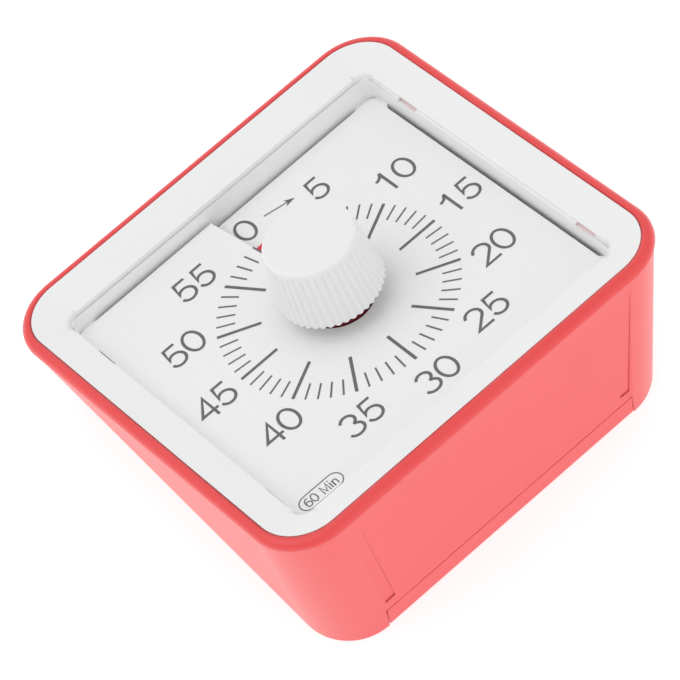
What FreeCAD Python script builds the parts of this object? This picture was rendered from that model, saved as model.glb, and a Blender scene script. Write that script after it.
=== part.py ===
import FreeCAD, Part
import math
import os
import re
import Sketcher

# Visual countdown timer: a wedge-shaped desk timer lying on its back.
# Row frame: X to 3 o'clock, Y up the back plate to 12 o'clock, Z out of the back plate.
# Dial frame: origin on the knob's axis in the plane of the bezel's outer edge, Z out of the face.

Vector = FreeCAD.Vector
doc = FreeCAD.newDocument("countdown_timer")
sheet = doc.addObject("Spreadsheet::Sheet", "sizes")

# Driving dimensions in millimetres, degrees and counts

DRIVING = {
    # housing
    "wedge_angle": 18, "face_width": 79.8, "face_height": 81.0, "face_corner": 9.9,
    "lip_depth": 1.5, "lip_round": 1.3, "lip_proud": 0.2, "axis_rise": 0.6,
    "bottom_depth": 41.0, "back_width": 71.8, "back_drop": 7.0, "back_corner": 9.2,
    "housing_wall": 2.0, "cavity_inset": 2.8, "cavity_shift": 0.8, "seam_gap": 0.1,
    "strip_width": 2.0, "strip_depth": 0.22, "strip_front_x": 28.0, "strip_back_x": 25.2,
    "strip_low": 8.0, "strip_high": 37.5,
    # bezel
    "rim_width": 1.9, "bezel_corner": 8.0, "bezel_edge": 3.4,
    "dish_depth": 1.7, "recess_size": 65.2, "recess_drop": 0.9, "recess_corner": 2.5,
    "recess_step": 0.4, "step_depth": 2.4, "sleeve_wall": 1.4, "sleeve_depth": 8.6,
    "ledge_thick": 1.5, "sleeve_gap": 0.3, "post_radius": 2.9, "post_inset": 2.7,
    "hook_length": 4.4, "hook_thick": 0.8, "hook_y_upper": 20.0, "hook_y_lower": -26.0,
    # dial sheet and time disc
    "sheet_size": 63.0, "sheet_thick": 0.3, "sheet_low": 6.84, "helix_pitch": 1.8,
    "slit_half": 0.75, "slit_turn": -5.2, "sheet_hole": 6.13, "disc_radius": 20.5, "disc_thick": 0.3,
    "disc_peek": 4.4, "disc_short": 3.0, "collar_outer": 5.7, "collar_wall": 0.9,
    "collar_margin": 0.1, "rest_gap": 0.03,
    # knob and arbor
    "knob_base_radius": 8.99, "knob_top_radius": 7.82, "knob_base": 2.15, "knob_rise": 8.71,
    "knob_flat": 7.11, "knob_top": 9.46, "knob_wall": 1.3, "knob_cap": 1.6, "knob_ribs": 42,
    "rib_depth": 0.35, "rib_band": 0.9, "boss_radius": 3.8, "socket_top": 4.6,
    "arbor_radius": 2.0, "pivot_radius": 1.2, "drum_radius": 4.5, "drum_bottom": 8.4,
    "flat_offset": 1.6, "running_fit": 0.05, "hub_bore": 1.25,
    # carrier and bush
    "carrier_thick": 1.2, "carrier_size": 67.6, "bush_radius": 3.2, "bush_rise": 0.15,
    # movement
    "case_half_width": 20.5, "case_low": -16.4, "case_high": 22.8, "case_depth": 10.0,
    "case_wall": 1.2, "plate_wall": 1.2, "case_split": 5.0, "ear_x": 22.5, "ear_low": -10.0,
    "ear_high": 16.0, "ear_radius": 2.4, "ear_thick": 1.4, "screw_radius": 1.0,
    "screw_head": 1.9, "head_thick": 1.3, "tip_room": 0.5,
    # gear train
    "gear_module": 0.3, "centre_teeth": 64, "big_teeth": 60, "fifth_teeth": 32,
    "pinion_teeth": 8, "wheel_thick": 0.6, "pinion_length": 1.4, "axle_radius": 0.5,
    "axle_pivot": 0.35, "level_centre": 17.0, "level_third": 14.9, "level_fourth": 13.3,
    "level_fifth": 11.9, "third_angle": 150.0, "fourth_angle": 39.6, "fifth_angle": -7.9,
    "rotor_angle": -33.4,
    # step motor, board, buzzer
    "magnet_radius": 2.5, "magnet_length": 1.3, "stator_thick": 0.7, "stator_depth": 15.3,
    "coil_length": 6.9, "coil_flange": 2.8, "coil_outer": 2.5, "core_half": 0.9,
    "coil_y": -11.75, "coil_x": 14.05, "board_thick": 0.8, "buzzer_radius": 6.9,
    "buzzer_wall": 1.0, "buzzer_height": 3.0, "buzzer_x": 8.0, "buzzer_y": 25.2,
    # back cover, battery and door
    "cover_inset": 0.4, "cover_thick": 2.0, "cover_gap": 0.25, "cell_radius": 7.25,
    "cell_length": 49.2, "nub_radius": 2.75, "nub_length": 1.3, "cell_lift": 0.6,
    "tray_half": 28.2, "tray_wall": 1.2, "tray_height": 8.0, "tray_clear": 0.5,
    "door_half": 26.4, "door_plate_half": 25.2, "door_lip": 5.2, "door_reach": 19.0,
    "door_gap": 0.2, "tongue_thick": 0.8, "contact_thick": 0.4, "spring_wire": 0.25,
    "spring_radius": 2.6, "spring_turns": 3, "boss_x": 31.2, "boss_high": 27.0,
    "boss_low": -13.5, "boss_outer": 3.0, "boss_top_high": 9.5, "boss_top_low": 15.0,
    "web_reach": 6.0, "web_thick": 1.2,
    "switch_x": -19.0, "switch_y": 27.0, "switch_length": 10.0, "switch_width": 5.0,
    "switch_height": 4.0, "slider_travel": 3.0, "slider_length": 3.2, "slider_width": 2.4,
    "sound_hole": 0.8,
}

# Sizes that follow from them, as formulas of the sheet

DERIVED = {
    "bezel_width": "=face_width - 2 * rim_width",
    "bezel_height": "=face_height - 2 * rim_width",
    "back_height": "=face_height - back_drop",
}
ALIASES = {**DRIVING, **DERIVED}

for line, (alias, number) in enumerate(ALIASES.items(), start=1):
    sheet.set(f"A{line}", alias)
    sheet.set(f"B{line}", str(number))
    sheet.setAlias(f"B{line}", alias)
doc.recompute()


class Sizes:
    """Reads a driving dimension from the sheet by its alias."""

    def __getattr__(self, alias):
        return float(sheet.get(alias))


S = Sizes()
WORD = re.compile(r"[a-z][a-z_]+")


def bind(item, prop, formula):
    """Binds a property to a formula written with the sheet's aliases."""
    text = WORD.sub(lambda w: "sizes." + w.group(0) if w.group(0) in ALIASES else w.group(0), str(formula))
    item.setExpression(prop, text)


# Where the dial frame sits in the row frame

TILT = "wedge_angle * 1 deg"
FACE_CENTRE = "(-axis_rise)"
DIAL_Y = f"axis_rise * cos({TILT}) + lip_depth * sin({TILT})"
DIAL_Z = f"bottom_depth - (axis_rise + face_height / 2) * sin({TILT}) + lip_depth * cos({TILT})"


def place(item, x="0", y="0", z="0"):
    """Places an item in its own frame by three formulas."""
    bind(item, "Placement.Base.x", f"({x}) * 1 mm")
    bind(item, "Placement.Base.y", f"({y}) * 1 mm")
    bind(item, "Placement.Base.z", f"({z}) * 1 mm")
    return item


def tilt(item, y="0", z="0"):
    """Places an item made in the dial frame, shifted by y and z there, in the row frame."""
    item.Placement.Rotation = FreeCAD.Rotation(Vector(-1, 0, 0), S.wedge_angle)
    bind(item, "Placement.Rotation.Angle", "wedge_angle * 1 deg")
    shift_y = f"({DIAL_Y}) + ({y}) * cos({TILT}) + ({z}) * sin({TILT})"
    shift_z = f"({DIAL_Z}) - ({y}) * sin({TILT}) + ({z}) * cos({TILT})"
    return place(item, "0", shift_y, shift_z)


# Building blocks

def box(name, x0, x1, y0, y1, z0, z1):
    """A block between three pairs of formulas."""
    item = doc.addObject("Part::Box", name)
    bind(item, "Length", f"(({x1}) - ({x0})) * 1 mm")
    bind(item, "Width", f"(({y1}) - ({y0})) * 1 mm")
    bind(item, "Height", f"(({z1}) - ({z0})) * 1 mm")
    return place(item, x0, y0, z0)


def rod(name, radius, z0, z1, x="0", y="0"):
    """An upright cylinder between two heights."""
    item = doc.addObject("Part::Cylinder", name)
    bind(item, "Radius", f"({radius}) * 1 mm")
    bind(item, "Height", f"(({z1}) - ({z0})) * 1 mm")
    return place(item, x, y, z0)


def bar(name, radius, x0, x1, y, z):
    """A cylinder that lies along X between two places."""
    item = doc.addObject("Part::Cylinder", name)
    bind(item, "Radius", f"({radius}) * 1 mm")
    bind(item, "Height", f"(({x1}) - ({x0})) * 1 mm")
    item.Placement.Rotation = FreeCAD.Rotation(Vector(0, 1, 0), 90)
    return place(item, x0, y, z)


def cone(name, low, high, z0, z1, x="0", y="0"):
    """An upright cone between two heights."""
    item = doc.addObject("Part::Cone", name)
    bind(item, "Radius1", f"({low}) * 1 mm")
    bind(item, "Radius2", f"({high}) * 1 mm")
    bind(item, "Height", f"(({z1}) - ({z0})) * 1 mm")
    return place(item, x, y, z0)


def fuse(name, *items):
    """Joins items into one solid."""
    item = doc.addObject("Part::MultiFuse", name)
    item.Shapes = list(items)
    item.Refine = True
    return item


def cut(name, base, *tools):
    """Takes the tools out of the base."""
    item = doc.addObject("Part::Cut", name)
    item.Base = base
    item.Tool = tools[0] if len(tools) == 1 else fuse(name + "_tools", *tools)
    return item


def common(name, first, second):
    """Keeps what two items share."""
    item = doc.addObject("Part::Common", name)
    item.Base = first
    item.Tool = second
    return item


def group(name, *items):
    """Keeps separate solids together as one node."""
    item = doc.addObject("Part::Compound", name)
    item.Links = list(items)
    return item


def rounded(name, width, height, radius, wide, high, corner):
    """A rounded rectangle about the origin: formulas, then their present values to start from."""
    sketch = doc.addObject("Sketcher::SketchObject", name)
    x, y, r = wide / 2, high / 2, corner
    corners = [(x - r, r - y, -90), (x - r, y - r, 0), (r - x, y - r, 90), (r - x, r - y, 180)]
    ends = [((r - x, -y), (x - r, -y)), ((x, r - y), (x, y - r)),
            ((x - r, y), (r - x, y)), ((-x, y - r), (-x, r - y))]
    for start, end in ends:
        sketch.addGeometry(Part.LineSegment(Vector(*start, 0), Vector(*end, 0)))
    for cx, cy, start in corners:
        circle = Part.Circle(Vector(cx, cy, 0), Vector(0, 0, 1), r)
        sketch.addGeometry(Part.ArcOfCircle(circle, math.radians(start), math.radians(start + 90)))
    sides, arcs = range(4), range(4, 8)
    rule = lambda *words: sketch.addConstraint(Sketcher.Constraint(*words))
    for side, arc in zip(sides, arcs):
        rule("Tangent", side, 2, arc, 1)
        rule("Tangent", arc, 2, (side + 1) % 4, 1)
    for side, way in zip(sides, ("Horizontal", "Vertical", "Horizontal", "Vertical")):
        rule(way, side)
    for arc in range(5, 8):
        rule("Equal", 4, arc)
    rule("Symmetric", 4, 3, 6, 3, -1, 1)
    for way, first, second, start, formula in (("DistanceX", 3, 1, wide, width), ("DistanceY", 0, 2, high, height)):
        index = rule(way, first, 1, second, 1, start)
        bind(sketch, f"Constraints[{index}]", f"({formula}) * 1 mm")
    index = rule("Radius", 4, corner)
    bind(sketch, f"Constraints[{index}]", f"({radius}) * 1 mm")
    return sketch


def prism(name, sketch, y, z0, z1):
    """A sketch raised between two heights of its own frame."""
    place(sketch, "0", y, z0)
    item = doc.addObject("Part::Extrusion", name)
    item.Base = sketch
    item.DirMode = "Normal"
    item.Solid = True
    bind(item, "LengthFwd", f"(({z1}) - ({z0})) * 1 mm")
    return item


def loft(name, *sketches):
    """A ruled solid through closed sketches."""
    item = doc.addObject("Part::Loft", name)
    item.Sections = list(sketches)
    item.Solid = True
    item.Ruled = True
    return item


def plane(body, role):
    """One of a body's own origin planes or axes."""
    return next(item for item in body.Origin.OriginFeatures if item.Role == role)


def flat_sketch(body, name, role="XY_Plane", height=None):
    """A sketch on one of the body's own planes, raised by a formula."""
    sketch = body.newObject("Sketcher::SketchObject", name)
    sketch.AttachmentSupport = [(plane(body, role), "")]
    sketch.MapMode = "FlatFace"
    if height is not None:
        bind(sketch, "AttachmentOffset.Base.z", f"({height}) * 1 mm")
    return sketch


NODES = []


def node(item, name, on_dial=False):
    """Names a finished sub-part, and puts it in the row frame if it was made in the dial frame."""
    item.Label = name
    if on_dial:
        tilt(item)
    NODES.append(item)
    return item


# Housing shell: a ruled wedge with a rounded lip, a bezel seat, a cavity and screw bosses

FACE_W, FACE_H = "face_width - 2 * lip_proud", "face_height - 2 * lip_proud"
LEDGE_Z = "-(bezel_edge + ledge_thick)"
SLEEVE = "(recess_size - 2 * recess_step + 2 * sleeve_wall)"
SEAT_W, SEAT_H = "bezel_width + 2 * seam_gap", "bezel_height + 2 * seam_gap"


def housing():
    back_y = "(back_height - face_height * cos(wedge_angle * 1 deg)) / 2"
    rear = rounded("outer_back", "back_width", "back_height", "back_corner",
                   S.back_width, S.back_height, S.back_corner)
    place(rear, "0", back_y, "0")
    front = rounded("outer_front", FACE_W, FACE_H, "face_corner - lip_proud",
                    S.face_width - 2 * S.lip_proud, S.face_height - 2 * S.lip_proud,
                    S.face_corner - S.lip_proud)
    tilt(front, FACE_CENTRE, "-lip_depth")
    wedge = loft("wedge", rear, front)
    rim = rounded("rim_outline", "face_width", "face_height", "face_corner",
                  S.face_width, S.face_height, S.face_corner)
    lip = prism("lip_block", rim, FACE_CENTRE, "-lip_depth", "0")
    doc.recompute()
    top_edges = [(number, S.lip_round, S.lip_round) for number, edge in enumerate(lip.Shape.Edges, start=1)
                 if abs(edge.BoundBox.ZMin) < 1e-6 and abs(edge.BoundBox.ZMax) < 1e-6]
    rounded_lip = doc.addObject("Part::Fillet", "lip_rounded")
    rounded_lip.Base = lip
    rounded_lip.Edges = top_edges
    seat = prism("bezel_seat", rounded("seat_outline", SEAT_W, SEAT_H, "bezel_corner + seam_gap",
                                       S.bezel_width + 2 * S.seam_gap, S.bezel_height + 2 * S.seam_gap,
                                       S.bezel_corner + S.seam_gap),
                 FACE_CENTRE, "-bezel_edge", "lip_depth")
    sleeve_now = S.recess_size - 2 * S.recess_step + 2 * S.sleeve_wall + 2 * S.sleeve_gap
    mouth = prism("ledge_opening", rounded("ledge_outline", f"{SLEEVE} + 2 * sleeve_gap",
                                           f"{SLEEVE} + 2 * sleeve_gap", "recess_corner + sleeve_wall",
                                           sleeve_now, sleeve_now, S.recess_corner + S.sleeve_wall),
                  "-recess_drop", f"{LEDGE_Z} - lip_depth", "0")
    face_side = tilt(rounded_lip)
    seat_cut = tilt(fuse("face_openings", seat, mouth))
    inner_back = rounded("inner_back", "back_width - 2 * housing_wall", "back_height - 2 * housing_wall",
                         "back_corner - housing_wall", S.back_width - 2 * S.housing_wall,
                         S.back_height - 2 * S.housing_wall, S.back_corner - S.housing_wall)
    place(inner_back, "0", back_y, "0")
    inner_front = rounded("inner_front", "face_width - 2 * cavity_inset", "face_height - 2 * cavity_inset + cavity_shift",
                          "face_corner - cavity_inset", S.face_width - 2 * S.cavity_inset,
                          S.face_height - 2 * S.cavity_inset + S.cavity_shift, S.face_corner - S.cavity_inset)
    tilt(inner_front, f"{FACE_CENTRE} + cavity_shift", LEDGE_Z)
    cavity = loft("cavity", inner_back, inner_front)
    shell = cut("open_shell", fuse("solid_shell", wedge, face_side), seat_cut, cavity)
    bosses = []
    pilots = []
    for name, x, y, top in boss_places():
        bosses.append(rod(f"boss_{name}", "boss_outer", "cover_inset + cover_thick", top, x, y))
        out0, out1 = (f"{x} - web_reach", x) if x.startswith("-") else (x, f"{x} + web_reach")
        bosses.append(box(f"web_{name}", out0, out1, f"{y} - web_thick / 2", f"{y} + web_thick / 2",
                          "cover_inset + cover_thick", top))
        pilots.append(rod(f"pilot_{name}", "screw_radius", "0", f"{top} - housing_wall", x, y))
    inside = common("bosses_inside", fuse("bosses", *bosses), loft("boss_limit", rear, front))
    bottom = "-face_height * cos(wedge_angle * 1 deg) / 2"
    notch = box("door_notch", "-(door_half + door_gap)", "door_half + door_gap", f"{bottom} - housing_wall",
                f"{bottom} + housing_wall + door_gap + 1", "-1", "door_lip + door_gap")
    hooks = [hook(side, sign, level) for side, sign in (("left", "-1"), ("right", "1"))
             for level in ("hook_y_upper", "hook_y_lower")]
    strips = [strip(side, sign) for side, sign in (("left", -1), ("right", 1))]
    body = fuse("shell_with_bosses", shell, inside, *hooks)
    return node(cut("housing", body, notch, *pilots, *strips), "housing_shell")


def boss_places():
    """The four cover screws: name, x, y and the boss's top."""
    return [(f"{level}_{side}", f"{sign} * boss_x", y, top) for side, sign in (("left", "-1"), ("right", "1"))
            for level, y, top in (("high", "boss_high", "boss_top_high"), ("low", "boss_low", "boss_top_low"))]


def hook(side, sign, level):
    """A lug that rises from the ledge and reaches through the bezel's window."""
    outer = f"{SLEEVE} / 2 + sleeve_gap + 1.4"
    inner = "recess_size / 2 + 0.5"
    x0, x1 = (f"-({outer})", f"-({inner})") if sign == "-1" else (inner, outer)
    base0, base1 = ((f"-({outer})", f"-({outer}) + 1.1") if sign == "-1" else (f"{outer} - 1.1", outer))
    low, high = f"{level} - hook_length / 2", f"{level} + hook_length / 2"
    top = "-(step_depth - 0.3)"
    foot = box(f"hook_foot_{side}_{level}", base0, base1, low, high, f"{LEDGE_Z}", top)
    arm = box(f"hook_arm_{side}_{level}", x0, x1, low, high, f"{top} - hook_thick", top)
    return tilt(fuse(f"hook_{side}_{level}", foot, arm))


def strip(side, sign):
    """A shallow groove down the lower wall, drawn in towards the back like the wall's edge."""
    item = doc.addObject("Part::Box", f"strip_{side}")
    run = "(strip_high - strip_low)"
    lean = f"atan((strip_front_x - strip_back_x) / {run})"
    bind(item, "Length", "strip_width * 1 mm")
    bind(item, "Width", "2 * strip_depth * 1 mm")
    bind(item, "Height", f"{run} * 1 mm")
    item.Placement.Rotation = FreeCAD.Rotation(Vector(0, sign, 0), 5)
    bind(item, "Placement.Rotation.Angle", lean)
    bottom = "-face_height * cos(wedge_angle * 1 deg) / 2"
    return place(item, f"{sign} * strip_back_x - strip_width / 2", f"{bottom} - strip_depth", "strip_low")


housing()

# Front bezel: a dished frame, a sleeve round the recess and four posts that carry the sheet

RECESS_Y = "(-recess_drop)"
STEP = "(recess_size - 2 * recess_step)"


def square(name, formula, now, radius, radius_now):
    """A rounded square of the recess."""
    return rounded(name, formula, formula, radius, now, now, radius_now)


def sheet_height(angle):
    """Formula of the sheet's middle plane at a clockwise angle from 12 o'clock."""
    return f"(-sheet_low + helix_pitch * ({angle} - slit_turn - slit_half) / 360)"


CORNERS = (("upper_right", 1, 1, 45), ("lower_right", 1, -1, 135),
           ("lower_left", -1, -1, 225), ("upper_left", -1, 1, 315))
POST_REACH = "(recess_size / 2 - recess_step - post_inset)"


def bezel():
    plate = prism("bezel_plate", rounded("bezel_outline", "bezel_width", "bezel_height", "bezel_corner",
                                         S.bezel_width, S.bezel_height, S.bezel_corner),
                  FACE_CENTRE, "-bezel_edge", "0")
    outer_edge = rounded("dish_outer", "bezel_width", "bezel_height", "bezel_corner",
                         S.bezel_width, S.bezel_height, S.bezel_corner)
    place(outer_edge, "0", FACE_CENTRE, "0")
    inner_edge = square("dish_inner", "recess_size", S.recess_size, "recess_corner", S.recess_corner)
    place(inner_edge, "0", RECESS_Y, "-dish_depth")
    dish = loft("dish", inner_edge, outer_edge)
    opening = prism("recess_mouth", square("recess_outline", "recess_size", S.recess_size,
                                           "recess_corner", S.recess_corner),
                    RECESS_Y, "-step_depth", "1")
    step_now = S.recess_size - 2 * S.recess_step
    well = prism("recess_well", square("well_outline", STEP, step_now, "recess_corner - recess_step",
                                       S.recess_corner - S.recess_step),
                 RECESS_Y, "-sleeve_depth - 1", "0")
    sleeve = prism("sleeve_block", square("sleeve_outline", SLEEVE, step_now + 2 * S.sleeve_wall,
                                          "recess_corner + sleeve_wall - recess_step",
                                          S.recess_corner + S.sleeve_wall - S.recess_step),
                   RECESS_Y, "-sleeve_depth", "-bezel_edge / 2")
    windows = [window(side, sign, level) for side, sign in (("left", "-1"), ("right", "1"))
               for level in ("hook_y_upper", "hook_y_lower")]
    frame = cut("bezel_frame", fuse("bezel_block", plate, sleeve), dish, opening, well, *windows)
    posts = []
    pilots = []
    for corner, right, up, angle in CORNERS:
        x, y = f"{right} * {POST_REACH}", f"{up} * {POST_REACH} - recess_drop"
        top = f"{sheet_height(angle)} - sheet_thick / 2 - rest_gap"
        posts.append(rod(f"post_{corner}", "post_radius", "-sleeve_depth", top, x, y))
        pilots.append(rod(f"post_pilot_{corner}", "screw_radius", "-sleeve_depth - 1", "-sleeve_depth + 1", x, y))
    return node(cut("bezel", fuse("bezel_and_posts", frame, *posts), *pilots), "front_bezel", on_dial=True)


def window(side, sign, level):
    """The pocket in the bezel for one of the housing's lugs."""
    outer = f"{SLEEVE} / 2 + sleeve_gap + 1.6"
    inner = f"{STEP} / 2 - 1"
    x0, x1 = (f"-({outer})", f"-({inner})") if sign == "-1" else (inner, outer)
    base0, base1 = ((f"-({outer})", f"-({outer}) + 1.5") if sign == "-1" else (f"{outer} - 1.5", outer))
    low, high = f"{level} - hook_length / 2 - seam_gap", f"{level} + hook_length / 2 + seam_gap"
    top = "-(step_depth - 0.3) + seam_gap"
    slot = box(f"window_slot_{side}_{level}", x0, x1, low, high, f"{top} - hook_thick - 2 * seam_gap", top)
    foot = box(f"window_foot_{side}_{level}", base0, base1, low, high, "-bezel_edge - 1", top)
    return fuse(f"window_{side}_{level}", slot, foot)


bezel()

# Dial sheet and time disc: two helical sheets of one pitch, half a pitch apart

def helical_ring(name, inner, outer, thick, turns, start_height, inner_now, outer_now, thick_now):
    """A thin ring that climbs clockwise from the slit, by the sheet's pitch in a full turn."""
    body = doc.addObject("PartDesign::Body", name)
    profile = flat_sketch(body, name + "_profile", "YZ_Plane")
    half = thick_now / 2
    points = [(inner_now, -half), (outer_now, -half), (outer_now, half), (inner_now, half)]
    for first, second in zip(points, points[1:] + points[:1]):
        profile.addGeometry(Part.LineSegment(Vector(*first, 0), Vector(*second, 0)))
    rule = lambda *words: profile.addConstraint(Sketcher.Constraint(*words))
    for side in range(4):
        rule("Coincident", side, 2, (side + 1) % 4, 1)
        rule("Horizontal" if side % 2 == 0 else "Vertical", side)
    for words, formula in ((("DistanceX", -1, 1, 0, 1, inner_now), inner), (("DistanceX", -1, 1, 0, 2, outer_now), outer),
                           (("DistanceY", 1, 1, 1, 2, thick_now), thick), (("DistanceY", 0, 2, -1, 1, half), f"({thick}) / 2")):
        index = rule(*words)
        bind(profile, f"Constraints[{index}]", f"({formula}) * 1 mm")
    doc.recompute()
    sweep = body.newObject("PartDesign::AdditiveHelix", name + "_sweep")
    sweep.Profile = profile
    sweep.ReferenceAxis = (plane(body, "Z_Axis"), [""])
    sweep.Mode = "pitch-turns-angle"
    sweep.LeftHanded = True
    bind(sweep, "Pitch", "helix_pitch * 1 mm")
    bind(sweep, "Turns", turns)
    place(body, "0", "0", start_height)
    return body


def dial_sheet():
    ring = helical_ring("sheet_ring", "sheet_hole", "sheet_size * 0.75", "sheet_thick", "(360 - 2 * slit_half) / 360",
                        "-sheet_low", S.sheet_hole, S.sheet_size * 0.75, S.sheet_thick)
    ring.Placement.Rotation = FreeCAD.Rotation(Vector(0, 0, 1), -S.slit_turn - S.slit_half)
    bind(ring, "Placement.Rotation.Angle", "(-slit_turn - slit_half) * 1 deg")
    outline = box("sheet_limit", "-sheet_size / 2", "sheet_size / 2", f"{RECESS_Y} - sheet_size / 2",
                  f"{RECESS_Y} + sheet_size / 2", "-sheet_low - helix_pitch", "-sheet_low + 2 * helix_pitch")
    return node(common("printed_sheet", ring, outline), "dial_sheet", on_dial=True)


DISC_START = "(-sheet_low - helix_pitch / 2 + helix_pitch * (disc_short - slit_half) / 360)"


def time_disc():
    ring = helical_ring("disc_ring", "collar_outer - collar_wall / 2", "disc_radius", "disc_thick",
                        "(360 - disc_short + disc_peek) / 360", DISC_START,
                        S.collar_outer - S.collar_wall / 2, S.disc_radius, S.disc_thick)
    ring.Placement.Rotation = FreeCAD.Rotation(Vector(0, 0, 1), -S.slit_turn - S.disc_short)
    bind(ring, "Placement.Rotation.Angle", "(-slit_turn - disc_short) * 1 deg")
    room = rod("collar_room", "collar_outer", "-sheet_low - 2 * helix_pitch", "-sheet_low + 2 * helix_pitch")
    return node(cut("red_disc", ring, room), "time_disc", on_dial=True)


COLLAR_LOW = "(-sheet_low - helix_pitch / 2 - disc_thick / 2 - collar_margin)"
COLLAR_HIGH = "(-sheet_low + helix_pitch / 2 + disc_thick / 2 + collar_margin)"


def disc_collar():
    ring = cut("collar_ring", rod("collar_block", "collar_outer", COLLAR_LOW, COLLAR_HIGH),
               rod("collar_bore", "collar_outer - collar_wall", f"{COLLAR_LOW} - 1", f"{COLLAR_HIGH} + 1"))
    return node(ring, "disc_collar", on_dial=True)


dial_sheet()
time_disc()
disc_collar()

# Knob, drum and arbor

def knob():
    wall = cone("knob_wall_block", "knob_base_radius", "knob_top_radius", "-knob_base", "knob_rise")
    crown = cone("knob_crown", "knob_top_radius", "knob_flat", "knob_rise", "knob_top")
    hollow = cone("knob_hollow", "knob_base_radius - knob_wall", "knob_top_radius - knob_wall",
                  "-knob_base", "knob_top - knob_cap")
    boss = rod("knob_boss", "boss_radius", "-knob_base", "knob_top - knob_cap")
    socket = d_shaft("knob_socket", "arbor_radius", "-knob_base - 1", "socket_top")
    shell = fuse("knob_shell", cut("knob_cup", fuse("knob_solid", wall, crown), hollow), boss)
    grooves = rib_grooves()
    return node(cut("knob_ribbed", shell, socket, grooves), "knob", on_dial=True)


def d_shaft(name, radius, z0, z1):
    """A round shaft with one flat, which keeps the knob from turning on it."""
    flat = box(name + "_flat", "-2 * arbor_radius", "2 * arbor_radius", "flat_offset", "2 * arbor_radius", z0, z1)
    return cut(name, rod(name + "_round", radius, z0, z1), flat)


def rib_grooves():
    """The grooves between the knob's ribs: slanted rods set round the cone by a loop."""
    grooves = []
    count = int(S.knob_ribs)
    reach = S.knob_base_radius + groove_lift()
    lean = math.degrees(math.atan2(S.knob_base_radius - S.knob_top_radius, S.knob_base + S.knob_rise))
    for number in range(count):
        groove = doc.addObject("Part::Cylinder", f"rib_groove_{number}")
        bind(groove, "Radius", "0.6 * pi * knob_base_radius / knob_ribs * 1 mm")
        bind(groove, "Height", "(knob_base + knob_rise - rib_band) * 1 mm")
        around = FreeCAD.Rotation(Vector(0, 0, 1), 360.0 * number / count)
        rotation = around.multiply(FreeCAD.Rotation(Vector(0, -1, 0), lean))
        groove.Placement = FreeCAD.Placement(around.multVec(Vector(reach, 0, -S.knob_base)), rotation)
        grooves.append(groove)
    return group("rib_grooves", *grooves)


def groove_lift():
    """How far a groove's axis stands off the cone for the wanted depth."""
    return 0.6 * math.pi * S.knob_base_radius / S.knob_ribs - S.rib_depth


def disc_drum():
    drum = cut("drum_ring", rod("drum_block", "drum_radius", "-drum_bottom", "-knob_base"),
               d_shaft("drum_bore", "arbor_radius", "-drum_bottom - 1", "-knob_base + 1"))
    return node(drum, "disc_drum", on_dial=True)


CASE_FRONT = "-(sleeve_depth + carrier_thick)"
CASE_REAR = f"({CASE_FRONT} - case_depth)"
INNER_FRONT = f"({CASE_FRONT} - plate_wall)"
INNER_REAR = f"({CASE_REAR} + plate_wall)"


def arbor():
    upper = cut("arbor_upper", rod("arbor_round", "arbor_radius", f"{CASE_FRONT} + running_fit", "socket_top"),
                box("arbor_flat", "-2 * arbor_radius", "2 * arbor_radius", "flat_offset", "2 * arbor_radius",
                    "-drum_bottom", "socket_top + 1"))
    lower = rod("arbor_lower", "pivot_radius", f"{CASE_REAR} + plate_wall / 2", f"{CASE_FRONT} + 2 * running_fit")
    shoulder = rod("arbor_shoulder", "1.5 * pivot_radius", "-level_third - 0.7", "-level_third - 0.2")
    return node(fuse("arbor_turned", upper, lower, shoulder), "arbor", on_dial=True)


def zero_cam():
    disc = fuse("cam_disc", rod("cam_round", "2 * pivot_radius", "-level_fourth + 1.0", "-level_fourth + 1.8"),
                box("cam_lobe", "-0.5", "0.5", "0", "2.7 * pivot_radius", "-level_fourth + 1.0", "-level_fourth + 1.8"))
    bore = rod("cam_bore", "pivot_radius", "-level_fourth", "-level_fourth + 3")
    return node(cut("cam", disc, bore), "zero_cam", on_dial=True)


SPRING_TOP = "(-level_third - 0.7)"
HUB_TOP = "(-level_centre + wheel_thick + 0.2)"


def clutch_spring():
    dome = cone("clutch_dome", "2.6 * pivot_radius", "1.3 * pivot_radius", f"{HUB_TOP} + running_fit", SPRING_TOP)
    inside = cone("clutch_inside", "2.4 * pivot_radius", "1.1 * pivot_radius", f"{HUB_TOP} + running_fit - 0.15",
                  f"{SPRING_TOP} - 0.15")
    bore = rod("clutch_bore", "pivot_radius", f"{HUB_TOP} - 1", f"{SPRING_TOP} + 1")
    return node(cut("clutch", dome, inside, bore), "clutch_spring", on_dial=True)


knob()
disc_drum()
arbor()
zero_cam()
clutch_spring()

# Carrier plate and bush

def screw_places():
    """The movement's four ears, as x and y formulas with a name each."""
    return [(f"{level}_{side}", f"{sign} * ear_x", y) for side, sign in (("left", "-1"), ("right", "1"))
            for level, y in (("low", "ear_low"), ("high", "ear_high"))]


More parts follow.
